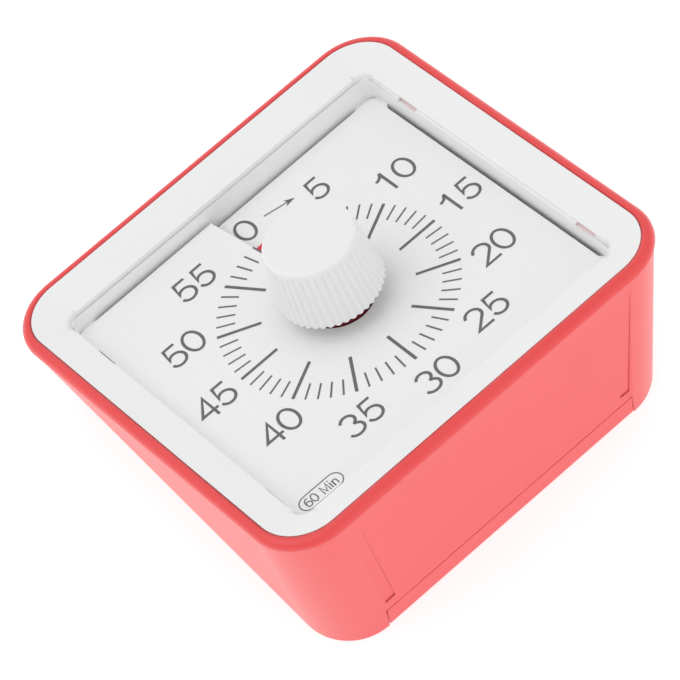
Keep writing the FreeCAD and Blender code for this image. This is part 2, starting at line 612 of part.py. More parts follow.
def carrier():
    now = S.carrier_size
    plate = prism("carrier_plate", square("carrier_outline", "carrier_size", now,
                                          "recess_corner + sleeve_wall - recess_step",
                                          S.recess_corner + S.sleeve_wall - S.recess_step),
                  RECESS_Y, CASE_FRONT, "-sleeve_depth")
    pads = [rod(f"carrier_pad_{name}", "ear_radius", "-sleeve_depth", "-sleeve_depth + 0.8", x, y)
            for name, x, y in screw_places()]
    holes = [rod(f"carrier_hole_{name}", "screw_radius", f"{CASE_FRONT} - 1", "-sleeve_depth + 0.6", x, y)
             for name, x, y in screw_places()]
    for corner, right, up, angle in CORNERS:
        x, y = f"{right} * {POST_REACH}", f"{up} * {POST_REACH} - recess_drop"
        holes.append(rod(f"carrier_corner_{corner}", "screw_radius", f"{CASE_FRONT} - 1", "-sleeve_depth + 1", x, y))
    holes.append(rod("carrier_bush_hole", "bush_radius", f"{CASE_FRONT} - 1", "-sleeve_depth + 1"))
    return node(cut("carrier", fuse("carrier_block", plate, *pads), *holes), "dial_carrier", on_dial=True)


def bush():
    ring = cut("bush_ring", rod("bush_block", "bush_radius", CASE_FRONT, "-drum_bottom - running_fit"),
               rod("bush_bore", "arbor_radius + running_fit", f"{CASE_FRONT} - 1", "-drum_bottom + 1"))
    return node(ring, "bearing_bush", on_dial=True)


def screw(name, x, y, head_low, head_high, tip):
    """A pan screw driven towards the face from behind."""
    shank = rod(f"{name}_shank", "screw_radius", head_high, tip, x, y)
    head = rod(f"{name}_head", "screw_head", head_low, head_high, x, y)
    slot = box(f"{name}_slot", f"({x}) - screw_head", f"({x}) + screw_head", f"({y}) - 0.25", f"({y}) + 0.25",
               f"({head_low}) - 1", f"({head_low}) + 0.5")
    return cut(name, fuse(f"{name}_body", shank, head), slot)


def carrier_screws():
    items = []
    for corner, right, up, angle in CORNERS:
        x, y = f"{right} * {POST_REACH}", f"{up} * {POST_REACH} - recess_drop"
        items.append(screw(f"carrier_screw_{corner}", x, y, f"{CASE_FRONT} - head_thick", CASE_FRONT,
                           "-sleeve_depth + 0.9"))
    return node(group("carrier_screw_set", *items), "carrier_screws", on_dial=True)


carrier()
bush()
carrier_screws()

# Gear train: a wheel and a pinion on each axle, every mesh set in phase

def polar(distance, angle):
    return distance * math.cos(math.radians(angle)), distance * math.sin(math.radians(angle))


def axle_places():
    """Axle centres, each reached from the one before by its mesh distance and angle."""
    pinion = S.gear_module * S.pinion_teeth / 2
    steps = [("third", S.gear_module * S.centre_teeth / 2 + pinion, S.third_angle),
             ("fourth", S.gear_module * S.big_teeth / 2 + pinion, S.fourth_angle),
             ("fifth", S.gear_module * S.big_teeth / 2 + pinion, S.fifth_angle),
             ("rotor", S.gear_module * S.fifth_teeth / 2 + pinion, S.rotor_angle)]
    places = {"centre": (0.0, 0.0)}
    x = y = 0.0
    for name, distance, angle in steps:
        dx, dy = polar(distance, angle)
        x, y = x + dx, y + dy
        places[name] = (x, y)
    return places


AXLES = axle_places()


def gear(name, teeth_alias, bore_alias, low, thick, phase):
    """A toothed wheel: a padded ring, one padded tooth and its polar pattern."""
    teeth = int(getattr(S, teeth_alias))
    bore = getattr(S, bore_alias)
    pitch = S.gear_module * teeth / 2
    root, tip = pitch - 0.6 * S.gear_module, pitch + 0.5 * S.gear_module
    pitch_text = f"gear_module * {teeth_alias} / 2"
    body = doc.addObject("PartDesign::Body", name + "_gear")
    ring = flat_sketch(body, name + "_ring", height=low)
    for index, (radius, formula) in enumerate(((root, f"{pitch_text} - 0.6 * gear_module"), (bore, bore_alias))):
        ring.addGeometry(Part.Circle(Vector(0, 0, 0), Vector(0, 0, 1), radius))
        ring.addConstraint(Sketcher.Constraint("Coincident", index, 3, -1, 1))
        number = ring.addConstraint(Sketcher.Constraint("Radius", index, radius))
        bind(ring, f"Constraints[{number}]", f"({formula}) * 1 mm")
    web = pad(body, ring, name + "_web", thick)
    tooth = flat_sketch(body, name + "_tooth", height=low)
    foot, crest = 0.75 * S.gear_module, 0.3 * S.gear_module
    inner = root - 0.3 * S.gear_module
    points = [(inner, -foot), (tip, -crest), (tip, crest), (inner, foot)]
    for first, second in zip(points, points[1:] + points[:1]):
        tooth.addGeometry(Part.LineSegment(Vector(*first, 0), Vector(*second, 0)))
    rule = lambda *words: tooth.addConstraint(Sketcher.Constraint(*words))
    for side in range(4):
        rule("Coincident", side, 2, (side + 1) % 4, 1)
    rule("Symmetric", 0, 1, 2, 2, -1)
    rule("Symmetric", 0, 2, 1, 2, -1)
    for words, formula in ((("DistanceX", -1, 1, 0, 1, inner), f"{pitch_text} - 0.9 * gear_module"),
                           (("DistanceX", -1, 1, 0, 2, tip), f"{pitch_text} + 0.5 * gear_module"),
                           (("DistanceY", 0, 1, 2, 2, 2 * foot), "1.5 * gear_module"),
                           (("DistanceY", 0, 2, 1, 2, 2 * crest), "0.6 * gear_module")):
        number = rule(*words)
        bind(tooth, f"Constraints[{number}]", f"({formula}) * 1 mm")
    cut_tooth = pad(body, tooth, name + "_one_tooth", thick)
    pattern = body.newObject("PartDesign::PolarPattern", name + "_teeth")
    pattern.Originals = [cut_tooth]
    pattern.Axis = (plane(body, "Z_Axis"), [""])
    pattern.Angle = 360
    bind(pattern, "Occurrences", teeth_alias)
    body.Tip = pattern
    body.Placement.Rotation = FreeCAD.Rotation(Vector(0, 0, 1), phase)
    return body


def pad(body, sketch, name, thick):
    """A sketch padded upwards by a formula."""
    item = body.newObject("PartDesign::Pad", name)
    item.Profile = sketch
    bind(item, "Length", f"({thick}) * 1 mm")
    return item


def stand(item, name, label):
    """Sets an item made about its own axle at the axle's place on the movement."""
    holder = doc.addObject("Part::Compound", label + "_at_axle")
    holder.Links = [item]
    x, y = AXLES[name]
    holder.Placement.Base = Vector(x, y, 0)
    return holder


def axle(name):
    """An axle with a thinner pivot at each end."""
    thick = rod(f"{name}_axle", "axle_radius", f"{INNER_REAR} + running_fit", f"{INNER_FRONT} - running_fit")
    thin = rod(f"{name}_pivots", "axle_pivot", f"{CASE_REAR} + running_fit", f"{CASE_FRONT} - running_fit")
    return fuse(f"{name}_axle_turned", thick, thin)


def facing(first, second):
    """Direction from one axle to another, in degrees."""
    (x0, y0), (x1, y1) = AXLES[first], AXLES[second]
    return math.degrees(math.atan2(y1 - y0, x1 - x0))


def meshed(driver, driven, teeth):
    """Phase that sets a tooth gap of the driven wheel towards the driver's tooth."""
    return facing(driven, driver) + 180.0 / teeth


def train():
    pinion = int(S.pinion_teeth)
    parts = (("third", "big_teeth", "level_third", "level_centre", "centre"),
             ("fourth", "big_teeth", "level_fourth", "level_third", "third"),
             ("fifth", "fifth_teeth", "level_fifth", "level_fourth", "fourth"))
    wheel = gear("centre_wheel", "centre_teeth", "hub_bore", "-level_centre", "wheel_thick",
                 facing("centre", "third"))
    hub = cut("centre_hub", rod("centre_hub_block", "1.8 * pivot_radius", "-level_centre - 0.8", HUB_TOP),
              rod("centre_hub_bore", "hub_bore", "-level_centre - 2", "-level_centre + 2"))
    node(fuse("centre_wheel_hubbed", wheel, hub), "centre_wheel", on_dial=True)
    following = {"centre": "third", "third": "fourth", "fourth": "fifth", "fifth": "rotor"}
    for name, teeth, level, below, before in parts:
        big = gear(f"{name}_wheel", teeth, "axle_radius", f"-{level}", "wheel_thick", facing(name, following[name]))
        set_wheel = stand(fuse(f"{name}_wheel_on_axle", big, axle(name)), name, f"{name}_wheel")
        node(set_wheel, f"{name}_wheel")
        tilt_holder(set_wheel, name)
        small = gear(f"{name}_pinion", "pinion_teeth", "axle_radius", f"-{below} - 0.4", "pinion_length",
                     meshed(before, name, pinion))
        set_pinion = stand(small, name, f"{name}_pinion")
        node(set_pinion, f"{name}_pinion")
        tilt_holder(set_pinion, name)
    small = gear("rotor_pinion", "pinion_teeth", "axle_radius", "-level_fifth - 0.6", "pinion_length",
                 meshed("fifth", "rotor", pinion))
    set_pinion = stand(fuse("rotor_pinion_on_axle", small, axle("rotor")), "rotor", "rotor_pinion")
    node(set_pinion, "rotor_pinion")
    tilt_holder(set_pinion, "rotor")
    magnet = cut("magnet_ring", rod("magnet_block", "magnet_radius", "-stator_depth", "-stator_depth + magnet_length"),
                 rod("magnet_bore", "axle_radius", "-stator_depth - 1", "-stator_depth + magnet_length + 1"))
    set_magnet = stand(magnet, "rotor", "rotor_magnet")
    node(set_magnet, "rotor_magnet")
    tilt_holder(set_magnet, "rotor")


def tilt_holder(item, name):
    """Places an axle's part in the row frame, at the axle's place on the dial."""
    x, y = AXLES[name]
    tilt(item, f"{y:.6f}", "0")
    bind(item, "Placement.Base.x", f"{x:.6f} * 1 mm")


train()

# Step motor

def stator():
    x, y = AXLES["rotor"]
    half = "magnet_radius + 0.6"
    low = "-stator_depth"
    high = "-stator_depth + stator_thick"
    yoke = box("stator_yoke", f"{x:.4f} - magnet_radius - 1.9", "case_half_width - case_wall - 0.3",
               f"{y:.4f} - magnet_radius - 1.4", f"{y:.4f} + magnet_radius + 1.6", low, high)
    left = box("stator_left", "coil_x - coil_length / 2 - 3.0", "coil_x - coil_length / 2 - 0.8", "coil_y - 1.2",
               f"{y:.4f} - magnet_radius - 0.5", low, high)
    right = box("stator_right", "coil_x + coil_length / 2 + 0.3", "coil_x + coil_length / 2 + 1.7", "coil_y - 1.2",
                f"{y:.4f} - magnet_radius - 0.5", low, high)
    bore = rod("stator_bore", half, f"{low} - 1", f"{high} + 1", f"{x:.4f}", f"{y:.4f}")
    return node(cut("stator", fuse("stator_sheet", yoke, left, right), bore), "stator_plate", on_dial=True)


def coil():
    x0, x1 = "coil_x - coil_length / 2", "coil_x + coil_length / 2"
    low = "(-stator_depth + stator_thick)"
    centre = f"({low} + core_half)"
    core = box("core_bar", "coil_x - coil_length / 2 - 3.0", "coil_x + coil_length / 2 + 1.7",
               "coil_y - core_half", "coil_y + core_half", low, f"{low} + 2 * core_half")
    node(core, "coil_core", on_dial=True)
    tilt_box(core, "coil_x - coil_length / 2 - 3.0", "coil_y - core_half", low)
    flanges = [bar(f"bobbin_flange_{side}", "coil_flange", start, f"{start} + 0.5", "coil_y", centre)
               for side, start in (("left", x0), ("right", f"{x1} - 0.5"))]
    tube = bar("bobbin_tube", "core_half + 0.7", x0, x1, "coil_y", centre)
    channel = box("bobbin_channel", f"{x0} - 1", f"{x1} + 1", "coil_y - core_half", "coil_y + core_half",
                  low, f"{low} + 2 * core_half")
    trim = box("bobbin_trim", f"{x0} - 1", f"{x1} + 1", "coil_y - coil_flange - 1", "coil_y + coil_flange + 1",
               f"{INNER_FRONT} - 0.05", f"{INNER_FRONT} + 4")
    node(cut("bobbin", fuse("bobbin_body", tube, *flanges), channel, trim), "coil_bobbin", on_dial=True)
    wound = cut("winding", bar("winding_block", "coil_outer", f"{x0} + 0.5", f"{x1} - 0.5", "coil_y", centre),
                bar("winding_bore", "core_half + 0.7", f"{x0}", f"{x1}", "coil_y", centre))
    node(wound, "coil_winding", on_dial=True)


def tilt_box(item, x, y, z):
    """A single block of the dial frame, put in the row frame by its corner."""
    tilt(item, y, z)
    bind(item, "Placement.Base.x", f"({x}) * 1 mm")


stator()
coil()

# Movement case, board and its parts

def case():
    split = f"({CASE_FRONT} - case_split)"
    outer = ("-case_half_width", "case_half_width", "case_low", "case_high")
    inner = ("-case_half_width + case_wall", "case_half_width - case_wall", "case_low + case_wall",
             "case_high - case_wall")
    pivots = [rod(f"pivot_hole_{name}", "axle_pivot + running_fit", f"{CASE_REAR} - 1", f"{CASE_FRONT} + 1",
                  f"{AXLES[name][0]:.6f}", f"{AXLES[name][1]:.6f}") for name in ("third", "fourth", "fifth", "rotor")]
    pivots.append(rod("pivot_hole_arbor", "hub_bore", f"{CASE_REAR} + plate_wall / 2 - running_fit", f"{CASE_FRONT} + 1"))
    ears = [rod(f"ear_{name}", "ear_radius", f"{CASE_FRONT} - ear_thick", CASE_FRONT, x, y)
            for name, x, y in screw_places()]
    holes = [rod(f"ear_hole_{name}", "screw_radius", f"{CASE_FRONT} - 3", f"{CASE_FRONT} + 1", x, y)
             for name, x, y in screw_places()]
    front_block = fuse("case_front_block", box("case_front_box", *outer, split, CASE_FRONT), *ears)
    front_room = box("case_front_room", *inner, f"{split} - 1", INNER_FRONT)
    node(cut("case_front", front_block, front_room, *pivots, *holes), "movement_front_case", on_dial=True)
    rear_room = box("case_rear_room", *inner, INNER_REAR, f"{split} + 1")
    node(cut("case_rear", box("case_rear_box", *outer, CASE_REAR, split), rear_room, *pivots),
         "movement_rear_case", on_dial=True)
    screws = [screw(f"movement_screw_{name}", x, y, f"{CASE_FRONT} - ear_thick - head_thick",
                    f"{CASE_FRONT} - ear_thick", "-sleeve_depth + 0.5") for name, x, y in screw_places()]
    node(group("movement_screw_set", *screws), "movement_screws", on_dial=True)


def board():
    top = f"({INNER_FRONT} - 0.3)"
    x0, x1, y0, y1 = "-18.8", "-2.0", "case_low + case_wall + 0.3", "-7.6"
    plate = box("board_plate", x0, x1, y0, y1, f"{top} - board_thick", top)
    node(plate, "circuit_board", on_dial=True)
    tilt_box(plate, x0, y0, f"{top} - board_thick")
    chip = box("chip_block", "-8.4", "-4.4", "-14.4", "-10.4", f"{top} - board_thick - 1.1", f"{top} - board_thick")
    node(chip, "control_chip", on_dial=True)
    tilt_box(chip, "-8.4", "-14.4", f"{top} - board_thick - 1.1")
    crystal = bar("crystal_can", "0.95", "-17.6", "-11.6", "-12.6", f"{top} - board_thick - 0.95")
    node(group("crystal_soldered", crystal), "quartz_crystal", on_dial=True)
    leaf = fuse("contact_leaf", box("leaf_strip", "-2.6", "1.0", "-4.2", "-3.9", "-level_fourth + 1.1", "-level_fourth + 1.7"),
                box("leaf_post", "-3.4", "-2.6", "-8.4", "-3.9", "-level_fourth + 1.1", f"{top} - board_thick"))
    node(leaf, "zero_contact", on_dial=True)


case()
board()

# Back cover with the battery tray, the door, the buzzer and the off switch

BACK_Y = "(back_height - face_height * cos(wedge_angle * 1 deg)) / 2"
BOTTOM = "(-face_height * cos(wedge_angle * 1 deg) / 2)"
PLATE_LOW, PLATE_HIGH = "cover_inset", "(cover_inset + cover_thick)"
CELL_Y = f"({BOTTOM} + housing_wall + tray_clear + cell_radius + 0.6)"
CELL_Z = f"({PLATE_HIGH} + cell_lift + cell_radius)"
TRAY_Y0 = f"({BOTTOM} + housing_wall + 1.0)"
TRAY_Y1 = f"({CELL_Y} + cell_radius + tray_clear)"
DOOR_Y1 = f"({BOTTOM} + door_reach)"


def back_cover():
    width = "back_width - 2 * housing_wall - 2 * cover_gap"
    height = "back_height - 2 * housing_wall - 2 * cover_gap"
    plate = prism("cover_plate", rounded("cover_outline", width, height, "back_corner - housing_wall",
                                         S.back_width - 2 * S.housing_wall - 2 * S.cover_gap,
                                         S.back_height - 2 * S.housing_wall - 2 * S.cover_gap,
                                         S.back_corner - S.housing_wall), BACK_Y, PLATE_LOW, PLATE_HIGH)
    tray = box("tray_block", "-(tray_half + tray_wall)", "tray_half + tray_wall", TRAY_Y0, f"{TRAY_Y1} + tray_wall",
               PLATE_LOW, f"{PLATE_HIGH} + tray_height")
    tray_room = box("tray_room", "-tray_half", "tray_half", f"{TRAY_Y0} - 1", TRAY_Y1, PLATE_HIGH,
                    f"{PLATE_HIGH} + tray_height + 1")
    opening = box("door_opening", "-(door_plate_half + door_gap)", "door_plate_half + door_gap", f"{BOTTOM} - 1",
                  f"{DOOR_Y1} + door_gap", "-1", f"{PLATE_HIGH} + 0.5")
    tongue_z = "(cover_inset + (cover_thick - tongue_thick) / 2)"
    grooves = box("tongue_grooves", "-(door_half + door_gap)", "door_half + door_gap", f"{BOTTOM} - 1",
                  f"{DOOR_Y1} - 2", f"{tongue_z} - door_gap", f"{tongue_z} + tongue_thick + door_gap")
    lip_room = box("lip_room", "-(door_half + door_gap)", "door_half + door_gap", f"{BOTTOM} - 1",
                   f"{BOTTOM} + housing_wall + 0.3", "-1", "door_lip + 2")
    holes = []
    for name, x, y, top in boss_places():
        holes.append(rod(f"cover_hole_{name}", "screw_radius", "0", f"{PLATE_HIGH} + 1", x, y))
        holes.append(rod(f"cover_sink_{name}", "screw_head + 0.1", "0", "cover_inset + 1.1", x, y))
    for number in range(3):
        holes.append(rod(f"sound_hole_{number}", "sound_hole", "0", f"{PLATE_HIGH} + 1",
                         f"buzzer_x + {number - 1} * 4", "buzzer_y"))
    slot = box("slider_slot", "switch_x - slider_length / 2 - slider_travel / 2 - 0.15",
               "switch_x + slider_length / 2 + slider_travel / 2 + 0.15",
               "switch_y - slider_width / 2 - 0.15", "switch_y + slider_width / 2 + 0.15", "-1", f"{PLATE_HIGH} + 1")
    return node(cut("cover", fuse("cover_and_tray", plate, tray), tray_room, opening, grooves, lip_room, slot, *holes),
                "back_cover")


def cover_screws():
    items = [screw(f"cover_screw_{name}", x, y, "cover_inset + 0.2", "cover_inset + 1.1",
                   f"{top} - housing_wall - tip_room")
             for name, x, y, top in boss_places()]
    return node(group("cover_screw_set", *items), "cover_screws")


def door():
    tongue_z = "(cover_inset + (cover_thick - tongue_thick) / 2)"
    plate = box("door_plate", "-door_plate_half", "door_plate_half", BOTTOM, DOOR_Y1, PLATE_LOW, PLATE_HIGH)
    tongue = box("door_tongue", "-door_half", "door_half", f"{BOTTOM} + 1", f"{DOOR_Y1} - 3", tongue_z,
                 f"{tongue_z} + tongue_thick")
    lip = box("door_lip_block", "-door_half", "door_half", BOTTOM, f"{BOTTOM} + housing_wall - 0.2", PLATE_LOW, "door_lip")
    grip = [box(f"door_grip_{number}", "-6", "6", f"{DOOR_Y1} - {3 + 1.6 * number}", f"{DOOR_Y1} - {2.2 + 1.6 * number}",
                "cover_inset - 1", "cover_inset + 0.5") for number in range(3)]
    return node(cut("door", fuse("door_block", plate, tongue, lip), *grip), "battery_door")


def battery():
    start = "-cell_length / 2"
    can = bar("cell_can", "cell_radius", start, "cell_length / 2", CELL_Y, CELL_Z)
    nub = bar("cell_nub", "nub_radius", "cell_length / 2", "cell_length / 2 + nub_length", CELL_Y, CELL_Z)
    node(fuse("cell", can, nub), "battery_cell")
    plus = box("plus_plate", "tray_half - contact_thick", "tray_half", f"{CELL_Y} - 4", f"{CELL_Y} + 4",
               f"{PLATE_HIGH} + 0.1", f"{CELL_Z} + 4")
    dimple = bar("plus_dimple", "1.5", "cell_length / 2 + nub_length", "tray_half", CELL_Y, CELL_Z)
    node(fuse("plus_contact", plus, dimple), "battery_plus_plate")
    minus = box("minus_plate", "-tray_half", "-tray_half + contact_thick", f"{CELL_Y} - 4", f"{CELL_Y} + 4",
                f"{PLATE_HIGH} + 0.1", f"{CELL_Z} + 4")
    node(minus, "battery_minus_plate")


def contact_spring():
    """The negative contact's coil: a round wire swept round the battery's axis."""
    body = doc.addObject("PartDesign::Body", "contact_spring")
    profile = flat_sketch(body, "spring_wire_section", "YZ_Plane")
    profile.addGeometry(Part.Circle(Vector(S.spring_radius, 0, 0), Vector(0, 0, 1), S.spring_wire))
    for words, formula in ((("Radius", 0, S.spring_wire), "spring_wire"),
                           (("DistanceX", -1, 1, 0, 3, S.spring_radius), "spring_radius")):
        index = profile.addConstraint(Sketcher.Constraint(*words))
        bind(profile, f"Constraints[{index}]", f"({formula}) * 1 mm")
    profile.addConstraint(Sketcher.Constraint("PointOnObject", 0, 3, -1))
    doc.recompute()
    sweep = body.newObject("PartDesign::AdditiveHelix", "spring_sweep")
    sweep.Profile = profile
    sweep.ReferenceAxis = (plane(body, "Z_Axis"), [""])
    sweep.Mode = "pitch-turns-angle"
    bind(sweep, "Pitch", "(tray_half - contact_thick - cell_length / 2 - 2 * spring_wire) / spring_turns * 1 mm")
    bind(sweep, "Turns", "spring_turns")
    body.Placement.Rotation = FreeCAD.Rotation(Vector(0, 1, 0), 90)
    place(body, "-tray_half + contact_thick + spring_wire", CELL_Y, CELL_Z)
    return node(body, "battery_spring")


def buzzer():
    ring = cut("buzzer_wall_ring", rod("buzzer_block", "buzzer_radius + buzzer_wall", PLATE_HIGH,
                                       f"{PLATE_HIGH} + buzzer_height", "buzzer_x", "buzzer_y"),
               rod("buzzer_room", "buzzer_radius - 0.8", f"{PLATE_HIGH} - 1", f"{PLATE_HIGH} + buzzer_height + 1",
                   "buzzer_x", "buzzer_y"),
               rod("buzzer_seat", "buzzer_radius", f"{PLATE_HIGH} + buzzer_height - 0.8",
                   f"{PLATE_HIGH} + buzzer_height + 1", "buzzer_x", "buzzer_y"))
    node(ring, "buzzer_ring")
    node(fuse("buzzer_plate", rod("buzzer_brass", "buzzer_radius", f"{PLATE_HIGH} + buzzer_height - 0.8",
                                  f"{PLATE_HIGH} + buzzer_height - 0.5", "buzzer_x", "buzzer_y"),
              rod("buzzer_ceramic", "0.7 * buzzer_radius", f"{PLATE_HIGH} + buzzer_height - 0.5",
                  f"{PLATE_HIGH} + buzzer_height - 0.3", "buzzer_x", "buzzer_y")), "buzzer_disc")


def switch():
    x0, x1 = "switch_x - switch_length / 2", "switch_x + switch_length / 2"
    y0, y1 = "switch_y - switch_width / 2", "switch_y + switch_width / 2"
    stem = "0.7"
    room = box("switch_room", f"switch_x - slider_travel / 2 - {stem} - 0.15", f"switch_x + slider_travel / 2 + {stem} + 0.15",
               "switch_y - 0.65", "switch_y + 0.65", f"{PLATE_HIGH} - 1", f"{PLATE_HIGH} + 2.2")
    node(cut("switch_housing", box("switch_block", x0, x1, y0, y1, PLATE_HIGH, f"{PLATE_HIGH} + switch_height"), room),
         "switch_body")
    at = "(switch_x - slider_travel / 2)"
    button = box("slider_button", f"{at} - slider_length / 2", f"{at} + slider_length / 2",
                 "switch_y - slider_width / 2", "switch_y + slider_width / 2", "cover_inset + 0.1", f"{PLATE_HIGH} - 0.1")
    post = box("slider_stem", f"{at} - {stem}", f"{at} + {stem}", "switch_y - 0.5", "switch_y + 0.5",
               f"{PLATE_HIGH} - 0.3", f"{PLATE_HIGH} + 2.0")
    node(fuse("slider", button, post), "switch_slider")


back_cover()
cover_screws()
door()
battery()
contact_spring()
buzzer()
switch()

# Check every object, then write one file for each node

doc.recompute()
for item in doc.Objects:
    if {"Invalid", "Error"} & set(item.State):
        raise RuntimeError(f"{item.Name} failed: {item.State}")
for item in NODES:
    if item.Shape.isNull() or not item.Shape.isValid():
        raise RuntimeError(f"{item.Label} has no valid shape")

os.makedirs("parts", exist_ok=True)
for item in NODES:
    item.Shape.exportStep(f"parts/{item.Label}.step")
    print(item.Label, len(item.Shape.Solids), round(item.Shape.Volume, 1))
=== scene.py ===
# %% [markdown]
# # A countdown timer, dressed for its portrait
#
# The measured solids of the timer arrive as a fixed frame. This lesson gives them their
# finishes, puts smooth skins in place of the outer ones, carries a ribbed knob round its axis
# and prints the scale on the dial. Every new surface is a formula on a grid, worked out as
# whole arrays.

# %% Load the frame
import bpy
import bmesh
import math
import numpy as np
from mathutils import Matrix, Vector


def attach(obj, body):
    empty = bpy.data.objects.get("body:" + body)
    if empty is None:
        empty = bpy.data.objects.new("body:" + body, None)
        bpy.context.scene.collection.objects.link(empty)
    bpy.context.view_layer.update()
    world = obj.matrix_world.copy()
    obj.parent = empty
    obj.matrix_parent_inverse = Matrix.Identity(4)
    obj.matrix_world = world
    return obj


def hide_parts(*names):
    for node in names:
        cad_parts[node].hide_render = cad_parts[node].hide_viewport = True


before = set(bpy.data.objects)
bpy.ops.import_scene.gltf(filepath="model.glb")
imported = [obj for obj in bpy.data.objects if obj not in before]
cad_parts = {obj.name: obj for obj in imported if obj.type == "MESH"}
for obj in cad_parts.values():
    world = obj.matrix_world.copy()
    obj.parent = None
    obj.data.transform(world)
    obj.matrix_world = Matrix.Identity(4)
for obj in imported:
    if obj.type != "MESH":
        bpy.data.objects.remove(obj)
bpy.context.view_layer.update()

# %% [markdown]
# ## The dial's own frame
#
# The dial leans by 18 degrees against the back. It is easier to think of the print in the
# dial's frame: x to 3 o'clock, y to 12 o'clock, z out of the face, all in millimetres from the
# knob's axis. One matrix product takes whole arrays of such points to the timer's frame.

# %% From the dial to the timer
LEAN = math.radians(18.0)
FACE_HEIGHT, BOTTOM_DEPTH, LIP, AXIS_RISE = 81.0, 41.0, 1.5, 0.6
ORIGIN = np.array([0.0,
                   AXIS_RISE * math.cos(LEAN) + LIP * math.sin(LEAN),
                   BOTTOM_DEPTH - (AXIS_RISE + FACE_HEIGHT / 2) * math.sin(LEAN) + LIP * math.cos(LEAN)])
TURN = np.array([[1.0, 0.0, 0.0],
                 [0.0, math.cos(LEAN), math.sin(LEAN)],
                 [0.0, -math.sin(LEAN), math.cos(LEAN)]])


def on_timer(points):
    """Metres in the timer's frame = (origin + TURN times the dial point in millimetres) / 1000."""
    return (np.asarray(points, float) @ TURN.T + ORIGIN) / 1000.0


print("knob axis at", on_timer([0, 0, 0]).round(4))

# %% [markdown]
# ## The camera
#
# The photograph was taken with a long lens, so the timer shows almost no perspective. Its
# place was found by matching corners of the rim, the ticks and the knob, and is given in the
# dial's frame: where the lens is, and which ways are right, up and back.

# %% Place the camera
EYE = [-162.91, -473.57, 495.30]
RIGHT = np.array([0.74131513, -0.59133283, -0.31745449])
DOWN = np.array([-0.63252153, -0.45738215, -0.62507447])
AHEAD = np.array([0.22442904, 0.66417396, -0.71309505])
FOCAL_PIXELS, PICTURE_SIDE = 4477.2, 680

lens = bpy.data.cameras.new("portrait_lens")
lens.sensor_width = 36.0
lens.lens = FOCAL_PIXELS * lens.sensor_width / PICTURE_SIDE
lens.clip_start, lens.clip_end = 0.05, 10.0
camera = bpy.data.objects.new("portrait_camera", lens)
bpy.context.scene.collection.objects.link(camera)
axes = np.stack([TURN @ RIGHT, TURN @ -DOWN, TURN @ -AHEAD], axis=1)
placed = np.eye(4)
placed[:3, :3], placed[:3, 3] = axes, on_timer(EYE)
camera.matrix_world = Matrix(placed.tolist())
bpy.context.scene.camera = camera
print("lens", round(lens.lens, 1), "mm")

# %% [markdown]
# ## A short way to write shaders
#
# A shader is arithmetic on sockets. The small class below wraps a socket, so that
# `1 - mask * 0.5` makes the Math nodes by itself, and one method makes every other node.

# %% Sockets as numbers
MIX_FACTOR, MIX_FIRST, MIX_SECOND, MIX_RESULT = 0, 6, 7, 2
EDGE_SAMPLES, EDGE_GAIN = 6, 3.0


class Socket:
    """A shader value: an operator adds the Math node that works it out."""

    def __init__(self, finish, link):
        self.finish, self.link = finish, link

    def _math(self, operation, first, second=None):
        values = {0: first} if second is None else {0: first, 1: second}
        return self.finish.node("ShaderNodeMath", {"operation": operation}, values)

    def __add__(self, other):
        return self._math("ADD", self, other)

    def __sub__(self, other):
        return self._math("SUBTRACT", self, other)

    def __rsub__(self, other):
        return self._math("SUBTRACT", other, self)

    def __mul__(self, other):
        return self._math("MULTIPLY", self, other)

    __radd__ = __add__

    def clipped(self):
        """The value held between 0 and 1."""
        return self._math("MINIMUM", self._math("MAXIMUM", self, 0.0), 1.0)


class Finish:
    """A material whose nodes are made from expressions."""

    def __init__(self, name):
        self.material = bpy.data.materials.new(name)
        self.material.use_nodes = True
        self.tree = self.material.node_tree
        self.shader = self.tree.nodes["Principled BSDF"]
        self.spot = self.node("ShaderNodeTexCoord", {}, {}, "Object")

    def node(self, kind, settings, values, output=0):
        """A node of one kind: settings first, then the values or links of its sockets."""
        made = self.tree.nodes.new(kind)
        for key, value in settings.items():
            setattr(made, key, value)
        for key, value in values.items():
            if isinstance(value, Socket):
                self.tree.links.new(value.link, made.inputs[key])
            else:
                made.inputs[key].default_value = value
        return Socket(self, made.outputs[output])

    def noise(self, scale, detail=3.0):
        """Smooth random values, about 0 to 1, with so many lumps in a metre."""
        values = {"Vector": self.spot, "Scale": scale, "Detail": detail}
        return self.node("ShaderNodeTexNoise", {}, values)

    def blend(self, factor, first, second):
        """A colour between two colours."""
        values = {MIX_FACTOR: factor, MIX_FIRST: (*first, 1.0), MIX_SECOND: (*second, 1.0)}
        return self.node("ShaderNodeMix", {"data_type": "RGBA"}, values, MIX_RESULT)

    def edge(self, radius):
        """0 on flat faces, up to 1 near an edge: how far the bevelled normal leaves the true one."""
        bent = self.node("ShaderNodeBevel", {"samples": EDGE_SAMPLES}, {"Radius": radius})
        true = self.node("ShaderNodeNewGeometry", {}, {}, "Normal")
        same = self.node("ShaderNodeVectorMath", {"operation": "DOT_PRODUCT"}, {0: bent, 1: true}, "Value")
        return ((1.0 - same) * EDGE_GAIN).clipped()

    def bump(self, height, distance):
        """A normal tilted by a height in the given number of metres."""
        return self.node("ShaderNodeBump", {}, {"Height": height, "Distance": distance, "Strength": 1.0})

    def wear(self, color=None, roughness=None, normal=None, metallic=None, **fixed):
        """Sets the surface: what varies is linked, and what is the same all over is set on the socket."""
        linked = {"Base Color": color, "Roughness": roughness, "Normal": normal, "Metallic": metallic}
        for name, value in linked.items():
            if isinstance(value, Socket):
                self.tree.links.new(value.link, self.shader.inputs[name])
            elif value is not None:
                self.shader.inputs[name].default_value = value
        for name, value in fixed.items():
            self.shader.inputs[name.replace("_", " ")].default_value = value
        return self.material


print("shader arithmetic is ready")

